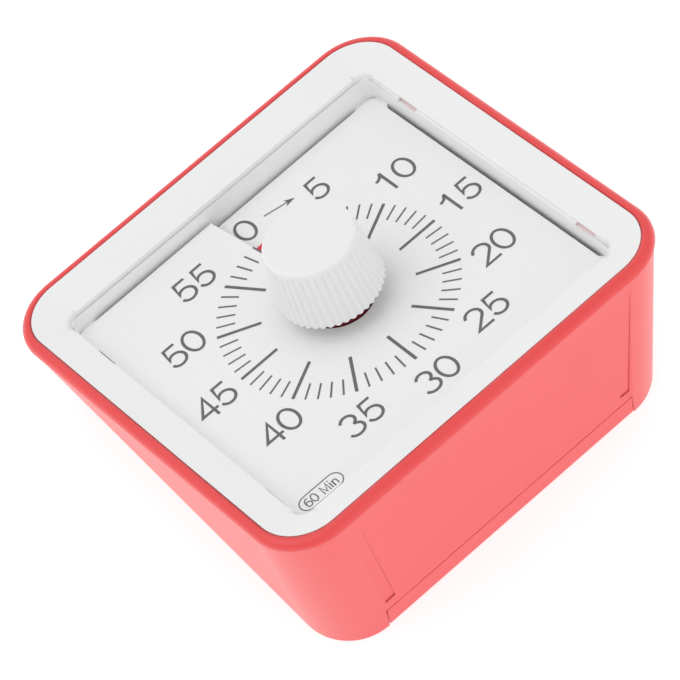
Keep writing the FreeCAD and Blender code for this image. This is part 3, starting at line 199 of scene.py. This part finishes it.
# %% [markdown]
# ## Moulded plastics
#
# Injection moulded plastic is not perfectly even: the steel of the mould leaves a very fine
# texture, the melt cools in slow waves, and handling polishes the edges. Three noises of very
# different sizes give the texture and the waves, and a bevelled normal finds the edges, where the
# roughness drops for the polish and the colour turns paler as a painted highlight. All are kept so
# weak that the part still looks new.

# %% A function for moulded plastic
DRIFT_SCALE, SWIRL_SCALE, GRAIN_SCALE = 45.0, 140.0, 9000.0
SWIRL_HEIGHT, POLISH_AND_HIGHLIGHT_WIDTH = 0.00003, 0.0005


def moulded(name, deep, pale, gloss, texture):
    """Plastic whose colour drifts between two close tones, with a fine grain, smoother edges and edges
    painted paler as a highlight.
    """
    finish = Finish(name)
    drift = finish.noise(DRIFT_SCALE, 2.0)
    grain = finish.noise(GRAIN_SCALE, 2.0)
    swirl = finish.noise(SWIRL_SCALE, 1.0)
    polish_and_edge_highlight = finish.edge(POLISH_AND_HIGHLIGHT_WIDTH)
    # Near the edges the roughness drops for the polish, and the colour turns paler as a painted highlight.
    color = finish.blend((drift * 0.75 + polish_and_edge_highlight * 0.35).clipped(), deep, pale)
    roughness = (gloss + grain * 0.06 + drift * 0.05) - polish_and_edge_highlight * 0.05
    height = grain * texture + swirl * SWIRL_HEIGHT
    return finish.wear(color=color, roughness=roughness, normal=finish.bump(height, 1.0),
                       Coat_Weight=0.12, Coat_Roughness=0.18, IOR=1.49)


CORAL = moulded("coral_shell", (0.860, 0.060, 0.062), (0.890, 0.076, 0.078), 0.30, 0.0000012)
BEZEL_WHITE = moulded("bezel_white", (0.900, 0.903, 0.905), (0.930, 0.932, 0.934), 0.36, 0.0000015)
KNOB_WHITE = moulded("knob_white", (0.890, 0.892, 0.895), (0.920, 0.922, 0.925), 0.38, 0.0000012)
NATURAL = moulded("natural_nylon", (0.72, 0.70, 0.62), (0.80, 0.78, 0.71), 0.45, 0.000002)
BLACK = moulded("black_plastic", (0.010, 0.010, 0.011), (0.022, 0.022, 0.024), 0.42, 0.000002)
# The collar's red is partly its own colour and partly painted shade: it is made far darker than the film,
# as the shadow that falls under the knob.
HUB_RED_PAINTED_SHADE = moulded("hub_red_painted_shade", (0.180, 0.006, 0.016), (0.240, 0.012, 0.026), 0.50, 0.000002)
print("moulded plastics:", 6)

# %% [markdown]
# ## Paper-white sheet, red film and printing ink
#
# The dial is a thin white sheet with a soft, almost matt face. The time disc is a red film
# with fine rolling lines. The ink is a dark grey that covers not quite evenly.

# %% Sheet, film and ink
LINE_SCALE, LINE_HEIGHT, CLOUD_SCALE = 900.0, 0.0000025, 60.0
COVER_SCALE, COVER_HEIGHT = 5200.0, 0.000002


def rolled(name, deep, pale, gloss, along):
    """A thin film: fine lines along its rolling direction and a faint cloudiness."""
    finish = Finish(name)
    stretched = finish.node("ShaderNodeMapping", {}, {"Vector": finish.spot, "Scale": along})
    lines = finish.node("ShaderNodeTexNoise", {}, {"Vector": stretched, "Scale": LINE_SCALE, "Detail": 2.0})
    cloud = finish.noise(CLOUD_SCALE, 2.0)
    color = finish.blend((lines * 0.5 + cloud * 0.5).clipped(), deep, pale)
    return finish.wear(color=color, roughness=gloss + lines * 0.08,
                       normal=finish.bump(lines, LINE_HEIGHT))


def inked(name, deep, pale):
    """Printed ink: cloudy cover and a slight grain."""
    finish = Finish(name)
    cover = finish.noise(COVER_SCALE, 2.0)
    return finish.wear(color=finish.blend(cover.clipped(), deep, pale), roughness=0.55 + cover * 0.1,
                       normal=finish.bump(cover, COVER_HEIGHT))


SHEET_WHITE = rolled("dial_sheet_white", (0.900, 0.902, 0.904), (0.925, 0.927, 0.930), 0.44,
                     (1.0, 0.06, 0.06))
FILM_RED = rolled("disc_film_red", (0.700, 0.030, 0.060), (0.780, 0.045, 0.080), 0.40, (0.08, 1.0, 0.08))
INK = inked("dial_ink", (0.120, 0.120, 0.122), (0.165, 0.165, 0.168))
print("films and ink:", 3)

# %% [markdown]
# ## Metals and the circuit board
#
# Screws, springs and contact plates are stamped or drawn steel: brushed lines that change the
# roughness. The winding is enamelled copper with one ridge for each turn of wire and painted
# shade in the grooves between turns, and the board is green lacquer over faint copper tracks.

# %% Metals
STREAK_SCALE, WRAP_SCALE, STREAK_HEIGHT, STAIN_SCALE = 2600.0, 1800.0, 0.000003, 300.0
WIRE_SCALE, WIRE_HEIGHT = 1400.0, 0.00004
TRACK_SCALE, TRACK_GAP, TRACK_HEIGHT = 420.0, 0.05, 0.00003


def drawn(name, color, gloss, along, scale=STREAK_SCALE):
    """Drawn or rolled metal: bright, with fine lines in one direction."""
    finish = Finish(name)
    stretched = finish.node("ShaderNodeMapping", {}, {"Vector": finish.spot, "Scale": along})
    lines = finish.node("ShaderNodeTexNoise", {}, {"Vector": stretched, "Scale": scale, "Detail": 2.0})
    cloud = finish.noise(STAIN_SCALE, 2.0)
    dark = tuple(0.78 * part for part in color)
    return finish.wear(color=finish.blend((lines * 0.6 + cloud * 0.3).clipped(), dark, color),
                       roughness=gloss + lines * 0.14, metallic=1.0,
                       normal=finish.bump(lines, STREAK_HEIGHT))


STEEL = drawn("drawn_steel", (0.66, 0.66, 0.67), 0.22, (1.0, 0.05, 1.0))
BRASS = drawn("buzzer_brass", (0.80, 0.62, 0.28), 0.24, (1.0, 0.05, 1.0))
CELL_STEEL = drawn("cell_wrap", (0.52, 0.53, 0.55), 0.28, (0.05, 1.0, 1.0), WRAP_SCALE)


def wound_copper():
    """Enamelled wire: a ridge across the coil's length for each turn, with painted shade in the grooves
    between turns.
    """
    finish = Finish("wound_copper")
    ridges_and_groove_shade = finish.node("ShaderNodeTexWave", {"wave_type": "BANDS", "bands_direction": "X"},
                         {"Vector": finish.spot, "Scale": WIRE_SCALE, "Distortion": 0.2})
    # The colour is darker in the grooves between turns and paler on the crests: painted shade and painted
    # highlight.
    return finish.wear(color=finish.blend(ridges_and_groove_shade, (0.30, 0.08, 0.03), (0.80, 0.34, 0.16)), metallic=1.0,
                       roughness=0.25 + ridges_and_groove_shade * 0.12, normal=finish.bump(ridges_and_groove_shade, WIRE_HEIGHT))


def board_green():
    """Green solder lacquer that shows the copper tracks below as slightly paler paths."""
    finish = Finish("board_green")
    tracks = finish.node("ShaderNodeTexBrick", {"offset": 0.5},
                         {"Vector": finish.spot, "Scale": TRACK_SCALE, "Mortar Size": TRACK_GAP}, "Fac")
    return finish.wear(color=finish.blend(tracks, (0.012, 0.095, 0.040), (0.030, 0.190, 0.080)),
                       roughness=0.30 + tracks * 0.1, normal=finish.bump(tracks, TRACK_HEIGHT))


COPPER, BOARD = wound_copper(), board_green()
print("metals and board:", 5)

# %% [markdown]
# ## Give every solid its finish
#
# Each solid keeps its mesh. Only the material in its slot changes, by its place in the timer.

# %% Assign the finishes
FINISHES = {
    "housing_shell": CORAL, "battery_door": CORAL, "back_cover": CORAL, "front_bezel": BEZEL_WHITE,
    "knob": KNOB_WHITE, "dial_sheet": SHEET_WHITE, "time_disc": FILM_RED, "disc_collar": HUB_RED_PAINTED_SHADE,
    "circuit_board": BOARD, "coil_winding": COPPER, "buzzer_disc": BRASS, "battery_cell": CELL_STEEL,
}
STEEL_WORDS = ("arbor", "spring", "screws", "plate", "magnet", "core", "crystal", "contact")
BLACK_WORDS = ("bobbin", "chip", "buzzer_ring", "switch")


def finish_for(name):
    """The finish of a solid: named ones first, then metals and black plastics by word, else nylon."""
    if name in FINISHES:
        return FINISHES[name]
    if any(word in name for word in STEEL_WORDS):
        return STEEL
    return BLACK if any(word in name for word in BLACK_WORDS) else NATURAL


for name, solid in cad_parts.items():
    solid.data.materials.clear()
    solid.data.materials.append(finish_for(name))
print("finished solids:", len(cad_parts))

# %% [markdown]
# ## Smooth skins for the outer mouldings
#
# The solids are made of flat triangles, so a rounded corner shows facets. A copy whose
# doubled points are merged can carry smooth normals, with the real edges kept sharp by their
# angle. Each corner's normal leans towards the larger of its faces, which keeps broad walls flat.
# The copy stands for the solid and has exactly its size.

# %% Copy, merge and smooth
MERGE_DISTANCE, NORMAL_WEIGHT = 2e-6, 50
SKIN_SHARP, BEZEL_SHARP = 32.0, 14.0


def merge_points(mesh, distance):
    """Joins the points of a mesh that lie closer together than the distance in metres."""
    work = bmesh.new()
    work.from_mesh(mesh)
    bmesh.ops.remove_doubles(work, verts=work.verts, dist=distance)
    work.to_mesh(mesh)
    work.free()


def shade_smooth(mesh, sharp):
    """Smooth shading, but for the edges whose faces turn by more than the angle in degrees."""
    mesh.polygons.foreach_set("use_smooth", np.ones(len(mesh.polygons), bool))
    mesh.set_sharp_from_angle(angle=math.radians(sharp))


def smooth_skin(node, name, body, sharp=SKIN_SHARP):
    """A merged copy of a solid: smooth where neighbouring faces turn by less than the angle."""
    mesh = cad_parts[node].data.copy()
    merge_points(mesh, MERGE_DISTANCE)
    shade_smooth(mesh, sharp)
    piece = bpy.data.objects.new(name, mesh)
    bpy.context.scene.collection.objects.link(piece)
    even = piece.modifiers.new("area_weighted_normals", "WEIGHTED_NORMAL")
    even.keep_sharp, even.weight = True, NORMAL_WEIGHT
    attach(piece, body)
    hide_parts(node)
    print(name, len(mesh.polygons), "faces")


smooth_skin("housing_shell", "shell_skin", "case")
smooth_skin("front_bezel", "bezel_skin", "case", sharp=BEZEL_SHARP)
smooth_skin("battery_door", "door_skin", "door")
smooth_skin("dial_sheet", "sheet_skin", "case")
smooth_skin("time_disc", "film_skin", "disc")
smooth_skin("disc_collar", "collar_skin", "disc")

# %% [markdown]
# ## Surfaces from arrays
#
# A grid of points with one row for each step along the shape and one column round it becomes
# a mesh when each cell is joined to its neighbours. Wrapping the last column to the first
# closes the ring, and the index arithmetic is done for all cells at once. Points that meet at a
# pole are merged.

# %% Grids to meshes
POLE_DISTANCE = 1e-7


def cells(rows, columns, wrap_rows, wrap_columns):
    """The four corner indices of every cell of a grid, as one array."""
    row = np.arange(rows if wrap_rows else rows - 1)[:, None]
    column = np.arange(columns if wrap_columns else columns - 1)[None, :]
    low, high = row * columns, (row + 1) % rows * columns
    near, far = column, (column + 1) % columns
    return np.stack([low + near, low + far, high + far, high + near], axis=-1).reshape(-1, 4)


def add_piece(name, points, faces, material, body, smooth=None):
    """An object at the origin from dial points in millimetres; smooth is its sharp angle, if any."""
    mesh = bpy.data.meshes.new(name)
    mesh.from_pydata(on_timer(points).tolist(), [], np.asarray(faces).tolist())
    merge_points(mesh, POLE_DISTANCE)
    if smooth is not None:
        shade_smooth(mesh, smooth)
    mesh.materials.append(material)
    piece = bpy.data.objects.new(name, mesh)
    bpy.context.scene.collection.objects.link(piece)
    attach(piece, body)
    print(name, len(mesh.polygons), "faces")
    return piece


# %% [markdown]
# ## The knob
#
# The knob is a cone with 42 ribs that run from its foot to a plain band under the crown. Its
# wall and crown are one profile carried round the axis. The ribs are a wave on the radius that
# fades out at the band, and the crown turns over in a quarter circle and dips slightly.

# %% Carry the profile round the axis
RIBS, RIB_DEPTH, RIB_SHARPNESS, COLUMNS_PER_RIB = 42, 0.35, 1.6, 12
PLAIN_BAND, RIB_FADE, HOLLOW_POINTS, KNOB_SHARP = 0.55, 0.5, 4, 38.0
KNOB_FOOT, KNOB_BREAK, KNOB_TOP = -2.15, 8.71, 9.46
FOOT_RADIUS, BREAK_RADIUS, FLAT_RADIUS, BORE_RADIUS = 8.99, 7.82, 7.11, 6.6
FOOT_WALL, HOLLOW_ROOF, HOLLOW_BEND, ROOF_BEVEL, CROWN_DIP = 1.3, 7.9, 7.2, 0.9, 0.10


def knob_profile():
    """Radius and height from the hollow's roof, out over the foot, up the wall and in to the middle."""
    lean = np.linspace(0.0, 1.0, 26)
    wall = np.stack([FOOT_RADIUS + (BREAK_RADIUS - FOOT_RADIUS) * lean,
                     KNOB_FOOT + (KNOB_BREAK - KNOB_FOOT) * lean], axis=1)
    turn = np.linspace(0.0, math.pi / 2, 9)[1:]
    crown = np.stack([FLAT_RADIUS + (BREAK_RADIUS - FLAT_RADIUS) * np.cos(turn),
                      KNOB_BREAK + (KNOB_TOP - KNOB_BREAK) * np.sin(turn)], axis=1)
    inward = np.array([0.86, 0.6, 0.3, 0.0])
    top = np.stack([FLAT_RADIUS * inward, KNOB_TOP - CROWN_DIP * (1.0 - inward ** 2)], axis=1)
    hollow = np.array([[0.0, HOLLOW_ROOF], [BORE_RADIUS - ROOF_BEVEL, HOLLOW_ROOF],
                       [BORE_RADIUS, HOLLOW_BEND], [FOOT_RADIUS - FOOT_WALL, KNOB_FOOT]])
    return np.concatenate([hollow, wall, crown, top])


def knob_surface():
    """Radius(angle, height) = profile radius - depth * groove(angle) * fade(height)."""
    profile = knob_profile()
    angle = np.linspace(0.0, 2 * math.pi, RIBS * COLUMNS_PER_RIB, endpoint=False)[None, :]
    radius, height = profile[:, :1], profile[:, 1:]
    groove = (0.5 - 0.5 * np.cos(RIBS * angle)) ** RIB_SHARPNESS
    outside = (np.arange(len(profile)) >= HOLLOW_POINTS)[:, None] & (radius > BREAK_RADIUS - 1e-6)
    fade = np.clip((KNOB_BREAK - PLAIN_BAND - height) / RIB_FADE, 0.0, 1.0) * outside
    reach = radius - RIB_DEPTH * groove * fade
    return np.stack(np.broadcast_arrays(reach * np.cos(angle), reach * np.sin(angle), height), axis=-1)


grid = knob_surface()
rows, columns = grid.shape[:2]
knob_skin = add_piece("knob_skin", grid.reshape(-1, 3), cells(rows, columns, False, True),
                      KNOB_WHITE, "knob", smooth=KNOB_SHARP)
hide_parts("knob")

# %% [markdown]
# ## The printed scale
#
# The dial sheet is one turn of a shallow screw surface: it climbs 1.8 mm clockwise from the
# slit, so that the red film can slide through the slit and lie on top. The print has to
# climb with it, so every printed point takes its height from its own angle.

# %% Height of the sheet
SLIT, SLIT_HALF, PITCH, SHEET_LOW, SHEET_THICK = -5.2, 0.75, 1.8, -6.84, 0.3
INK_LIFT = 0.03


def printed(flat):
    """Dial points on the sheet: height = lowest + pitch * (clockwise angle past the slit) / 360."""
    flat = np.asarray(flat, float)
    clockwise = np.degrees(np.arctan2(flat[..., 0], flat[..., 1]))
    past = np.mod(clockwise - SLIT - SLIT_HALF, 360.0)
    height = SHEET_LOW + SHEET_THICK / 2 + PITCH * past / 360.0 + INK_LIFT
    return np.concatenate([flat, height[..., None]], axis=-1)


print("print height at 12 and 6 o'clock:", printed([[0, 20], [0, -20]])[:, 2].round(3))

# %% [markdown]
# ## Sixty minute marks
#
# A mark is a flat strip of four points along the radius and two across it. The short marks are
# worked out together by turning one mark through their angles, and so are the long ones. Every
# fifth mark is longer and wider.

# %% Turn one mark through the hour
def minute_marks(minutes, inner, outer, width):
    """Grids of points: r from inner to outer, half a width each side, turned 6 degrees a minute."""
    angle = np.radians(6.0 * np.asarray(minutes))[:, None, None]
    reach = np.linspace(inner, outer, 4)[None, :, None]
    side = np.array([-width / 2, width / 2])[None, None, :]
    x = reach * np.sin(angle) + side * np.cos(angle)
    y = reach * np.cos(angle) - side * np.sin(angle)
    return np.stack([x, y], axis=-1)


def strips(grids):
    """Many separate grids joined into one list of points and faces."""
    count, rows, columns = grids.shape[:3]
    one = cells(rows, columns, False, False)
    faces = (one[None] + (np.arange(count) * rows * columns)[:, None, None]).reshape(-1, 4)
    return grids.reshape(-1, grids.shape[-1]), faces


every_fifth = np.arange(0, 60, 5)
others = np.setdiff1d(np.arange(60), every_fifth)
for label, minutes, inner, outer, width in (("short", others, 17.16, 20.35, 0.32),
                                            ("long", every_fifth, 12.88, 20.40, 0.56)):
    flat, faces = strips(minute_marks(minutes, inner, outer, width))
    add_piece(f"{label}_minute_marks", printed(flat), faces, INK, "case")

# %% [markdown]
# ## Drawing numerals with a pen
#
# The numerals are upright and of even stroke, so each is a centre line with a width, as a
# pen draws it. Circles and lines give the centre lines in a box one unit high, and the
# pen's two edges are the centre line moved to either side along its own normal.

# %% Centre lines of the digits
def arc(cx, cy, rx, ry, start, end, steps=22):
    """Points on an ellipse from one angle to another, in degrees anticlockwise from the right."""
    angle = np.radians(np.linspace(start, end, steps))
    return np.stack([cx + rx * np.cos(angle), cy + ry * np.sin(angle)], axis=1)


def line(*points):
    """Points joined by straight strokes."""
    return np.array(points, float)


def digit_lines():
    """Centre lines of the signs that the dial needs, each a list of (points, closed)."""
    oval = arc(0.36, 0.5, 0.295, 0.45, 0, 360, 49)[:-1]
    one = line((0.14, 0.745), (0.24, 0.765), (0.33, 0.81), (0.39, 0.88), (0.42, 0.955))
    two = np.concatenate([arc(0.36, 0.69, 0.275, 0.26, 168, -35), line((0.09, 0.05), (0.67, 0.05))])
    three = np.concatenate([arc(0.35, 0.730, 0.245, 0.220, 158, -62, 18),
                            arc(0.35, 0.290, 0.285, 0.240, 66, -162, 20)])
    five = np.concatenate([line((0.62, 0.95), (0.20, 0.95), (0.125, 0.46)),
                           arc(0.35, 0.33, 0.285, 0.28, 126, -160, 22)])
    six = np.concatenate([arc(0.44, 0.50, 0.36, 0.45, 68, 176, 14),
                          arc(0.36, 0.33, 0.275, 0.28, 180, -180, 30)])
    hook = np.concatenate([line((0.08, 0.0), (0.08, 0.42)),
                           arc(0.27, 0.42, 0.19, 0.22, 170, 0, 12), line((0.46, 0.0))])
    return {
        "0": [(oval, True)], "1": [(one, False), (line((0.44, 0.0), (0.44, 1.0)), False)],
        "2": [(two, False)], "3": [(three, False)], "5": [(five, False)], "6": [(six, False)],
        "4": [(line((0.53, 0.0), (0.53, 0.93), (0.08, 0.28), (0.70, 0.28)), False)],
        "M": [(line((0.08, 0.0), (0.08, 0.97), (0.40, 0.12), (0.72, 0.97), (0.72, 0.0)), False)],
        "i": [(line((0.08, 0.0), (0.08, 0.68)), False), (line((0.08, 0.86), (0.08, 0.98)), False)],
        "n": [(line((0.08, 0.0), (0.08, 0.66)), False), (hook, False)],
    }


STROKES = digit_lines()
DIGIT_ADVANCE, LETTER_ADVANCE = 0.735, {"M": 0.90, "i": 0.26, "n": 0.62}
print("signs drawn:", "".join(sorted(STROKES)))

# %% [markdown]
# ## The pen
#
# Where a centre line bends, the pen's edges meet on the line that halves the bend. They stand
# further apart there, by one over the cosine of half the bend, up to a limit.

# %% Strokes and words
MITRE_LIMIT = 0.45


def pen(points, closed, width):
    """Edges of a stroke = centre line +- half a width along the mitred normal."""
    if closed:
        before, after = np.roll(points, 1, axis=0), np.roll(points, -1, axis=0)
    else:
        before = np.concatenate([points[:1] * 2 - points[1:2], points[:-1]])
        after = np.concatenate([points[1:], points[-1:] * 2 - points[-2:-1]])
    into, out = points - before, after - points
    into /= np.linalg.norm(into, axis=1, keepdims=True)
    out /= np.linalg.norm(out, axis=1, keepdims=True)
    way = into + out
    way /= np.linalg.norm(way, axis=1, keepdims=True)
    normal = np.stack([-way[:, 1], way[:, 0]], axis=1)
    mitre = np.clip((way * into).sum(1, keepdims=True), MITRE_LIMIT, 1.0)
    shift = normal * width / 2 / mitre
    return np.stack([points + shift, points - shift], axis=1)


def write(name, words):
    """Prints (text, centre x, centre y, height, pen width, squeeze) as one piece."""
    points, faces, used = [], [], 0
    for text, x, y, height, width, squeeze in words:
        spans = [LETTER_ADVANCE.get(sign, DIGIT_ADVANCE) for sign in text]
        pen_x = x - height * squeeze * sum(spans) / 2
        for sign, span in zip(text, spans):
            for centre, closed in STROKES[sign]:
                across = pen_x + centre[:, 0] * height * squeeze
                up = y + (centre[:, 1] - 0.5) * height
                grid = pen(np.stack([across, up], axis=1), closed, width)
                points.append(grid.reshape(-1, 2))
                faces.append(cells(len(grid), 2, closed, False) + used)
                used += len(grid) * 2
            pen_x += span * height * squeeze
    faces = np.concatenate(faces)[:, ::-1]
    add_piece(name, printed(np.concatenate(points)), faces, INK, "case")


# %% [markdown]
# ## Twelve numerals, the arrow and the sixty-minute mark
#
# The numerals stand upright on a circle outside the marks, each centred at a listed place. The
# arrow shows the way in which the knob is wound, and a small pill in the corner gives the range
# of the scale.

# %% Print them
PLACES = {
    "0": (0.0, 26.0), "5": (13.06, 22.7), "10": (22.8, 13.55), "15": (26.3, 0.55), "20": (22.75, -12.7),
    "25": (13.2, -22.3), "30": (0.13, -25.75), "35": (-13.0, -22.45), "40": (-22.4, -12.9),
    "45": (-25.9, 0.05), "50": (-22.4, 13.1), "55": (-12.9, 22.75),
}
NUMERAL_HEIGHT, NUMERAL_PEN = 5.2, 0.53
PILL_X, PILL_Y, PILL_HALF_LENGTH, PILL_RADIUS, PILL_PEN = -26.3, -28.6, 4.15, 1.52, 0.20
WORD_HEIGHT, WORD_PEN = 1.94, 0.21
ARROW_HEAD, ARROW_TAIL, ARROW_PEN = (9.5, 24.4), (3.75, 25.75), 0.26
BARB_LENGTH, BARB_HALF, BARB_NOTCH, SHAFT_END, SHAFT_POINTS = 1.9, 0.75, 1.35, 1.0, 8

write("dial_numerals", [(text, x, y, NUMERAL_HEIGHT, NUMERAL_PEN, 1.0) for text, (x, y) in PLACES.items()])
write("pill_words", [("60", -28.32, PILL_Y, WORD_HEIGHT, WORD_PEN, 0.87),
                     ("Min", -24.65, PILL_Y, WORD_HEIGHT, WORD_PEN, 0.95)])

head, tail = np.array(ARROW_HEAD), np.array(ARROW_TAIL)
along = (head - tail) / np.linalg.norm(head - tail)
across = np.array([-along[1], along[0]])
shaft = pen(np.linspace(tail, head - along * SHAFT_END, SHAFT_POINTS), False, ARROW_PEN)
barb_foot, barb_side = head - along * BARB_LENGTH, across * BARB_HALF
barb = np.array([head, barb_foot + barb_side, head - along * BARB_NOTCH, barb_foot - barb_side])
shaft_faces = cells(len(shaft), 2, False, False)[:, ::-1]
arrow_faces = np.concatenate([shaft_faces, [np.arange(4) + 2 * len(shaft)]])
arrow_points = np.concatenate([shaft.reshape(-1, 2), barb])
add_piece("winding_arrow", printed(arrow_points), arrow_faces, INK, "case")


def pill_outline(cx, cy, half_length, radius, steps=16):
    """Two half circles joined by straight sides, as one closed line."""
    right = arc(cx + half_length - radius, cy, radius, radius, -90, 90, steps)
    left = arc(cx - half_length + radius, cy, radius, radius, 90, 270, steps)
    return np.concatenate([right, left])


ring = pen(pill_outline(PILL_X, PILL_Y, PILL_HALF_LENGTH, PILL_RADIUS), True, PILL_PEN)
ring_faces = cells(len(ring), 2, True, False)[:, ::-1]
add_piece("pill_outline", printed(ring.reshape(-1, 2)), ring_faces, INK, "case")

# %% [markdown]
# ## Light and floor
#
# A catalogue picture: a white table that glows a little, so that it stays white under the
# timer, a soft lamp behind and above the dial, a second low in front for the lower wall, and a
# white room that fills the shadows.

# %% The studio
LAMP_SIZE, LAMP_TARGET = 0.9, Vector((0, 0, 0.02))
TABLE_HALF, TABLE_DROP, TABLE_POINTS, TABLE_TONE_SCALE = 1.2, 0.0002, 9, 30.0
TABLE_GLOW, ROOM_STRENGTH = 0.62, 0.76


def soft_lamp(name, place, power):
    """A square lamp that looks at the timer's middle."""
    data = bpy.data.lights.new(name, "AREA")
    data.shape, data.size, data.energy = "SQUARE", LAMP_SIZE, power
    lamp = bpy.data.objects.new(name, data)
    lamp.location = place
    lamp.rotation_mode = "QUATERNION"
    lamp.rotation_quaternion = (LAMP_TARGET - Vector(place)).to_track_quat("-Z", "Y")
    bpy.context.scene.collection.objects.link(lamp)


soft_lamp("overhead_lamp", (-0.35, 0.35, 0.80), 1.8)
soft_lamp("front_lamp", (0.35, -0.75, 0.35), 1.0)

side = np.linspace(-TABLE_HALF, TABLE_HALF, TABLE_POINTS)
floor_points = np.stack(np.meshgrid(side, side, [-TABLE_DROP], indexing="ij"), axis=-1).reshape(-1, 3)
floor_faces = cells(len(side), len(side), False, False)[:, ::-1]
floor_mesh = bpy.data.meshes.new("table_top")
floor_mesh.from_pydata(floor_points.tolist(), [], floor_faces.tolist())
table = Finish("table_white")
table_tone = table.blend(table.noise(TABLE_TONE_SCALE), (0.62, 0.62, 0.62), (0.66, 0.66, 0.66))
floor_mesh.materials.append(table.wear(color=table_tone, roughness=0.6, Emission_Color=(1.0, 1.0, 1.0, 1.0),
                                       Emission_Strength=TABLE_GLOW))
floor = bpy.data.objects.new("table_top", floor_mesh)
bpy.context.scene.collection.objects.link(floor)

world = bpy.data.worlds.new("white_room")
world.use_nodes = True
background = world.node_tree.nodes["Background"]
background.inputs["Color"].default_value = (1.0, 1.0, 1.0, 1.0)
background.inputs["Strength"].default_value = ROOM_STRENGTH
bpy.context.scene.world = world
bpy.context.scene.view_settings.view_transform = "Standard"
print("lamps: 2, floor and white room")
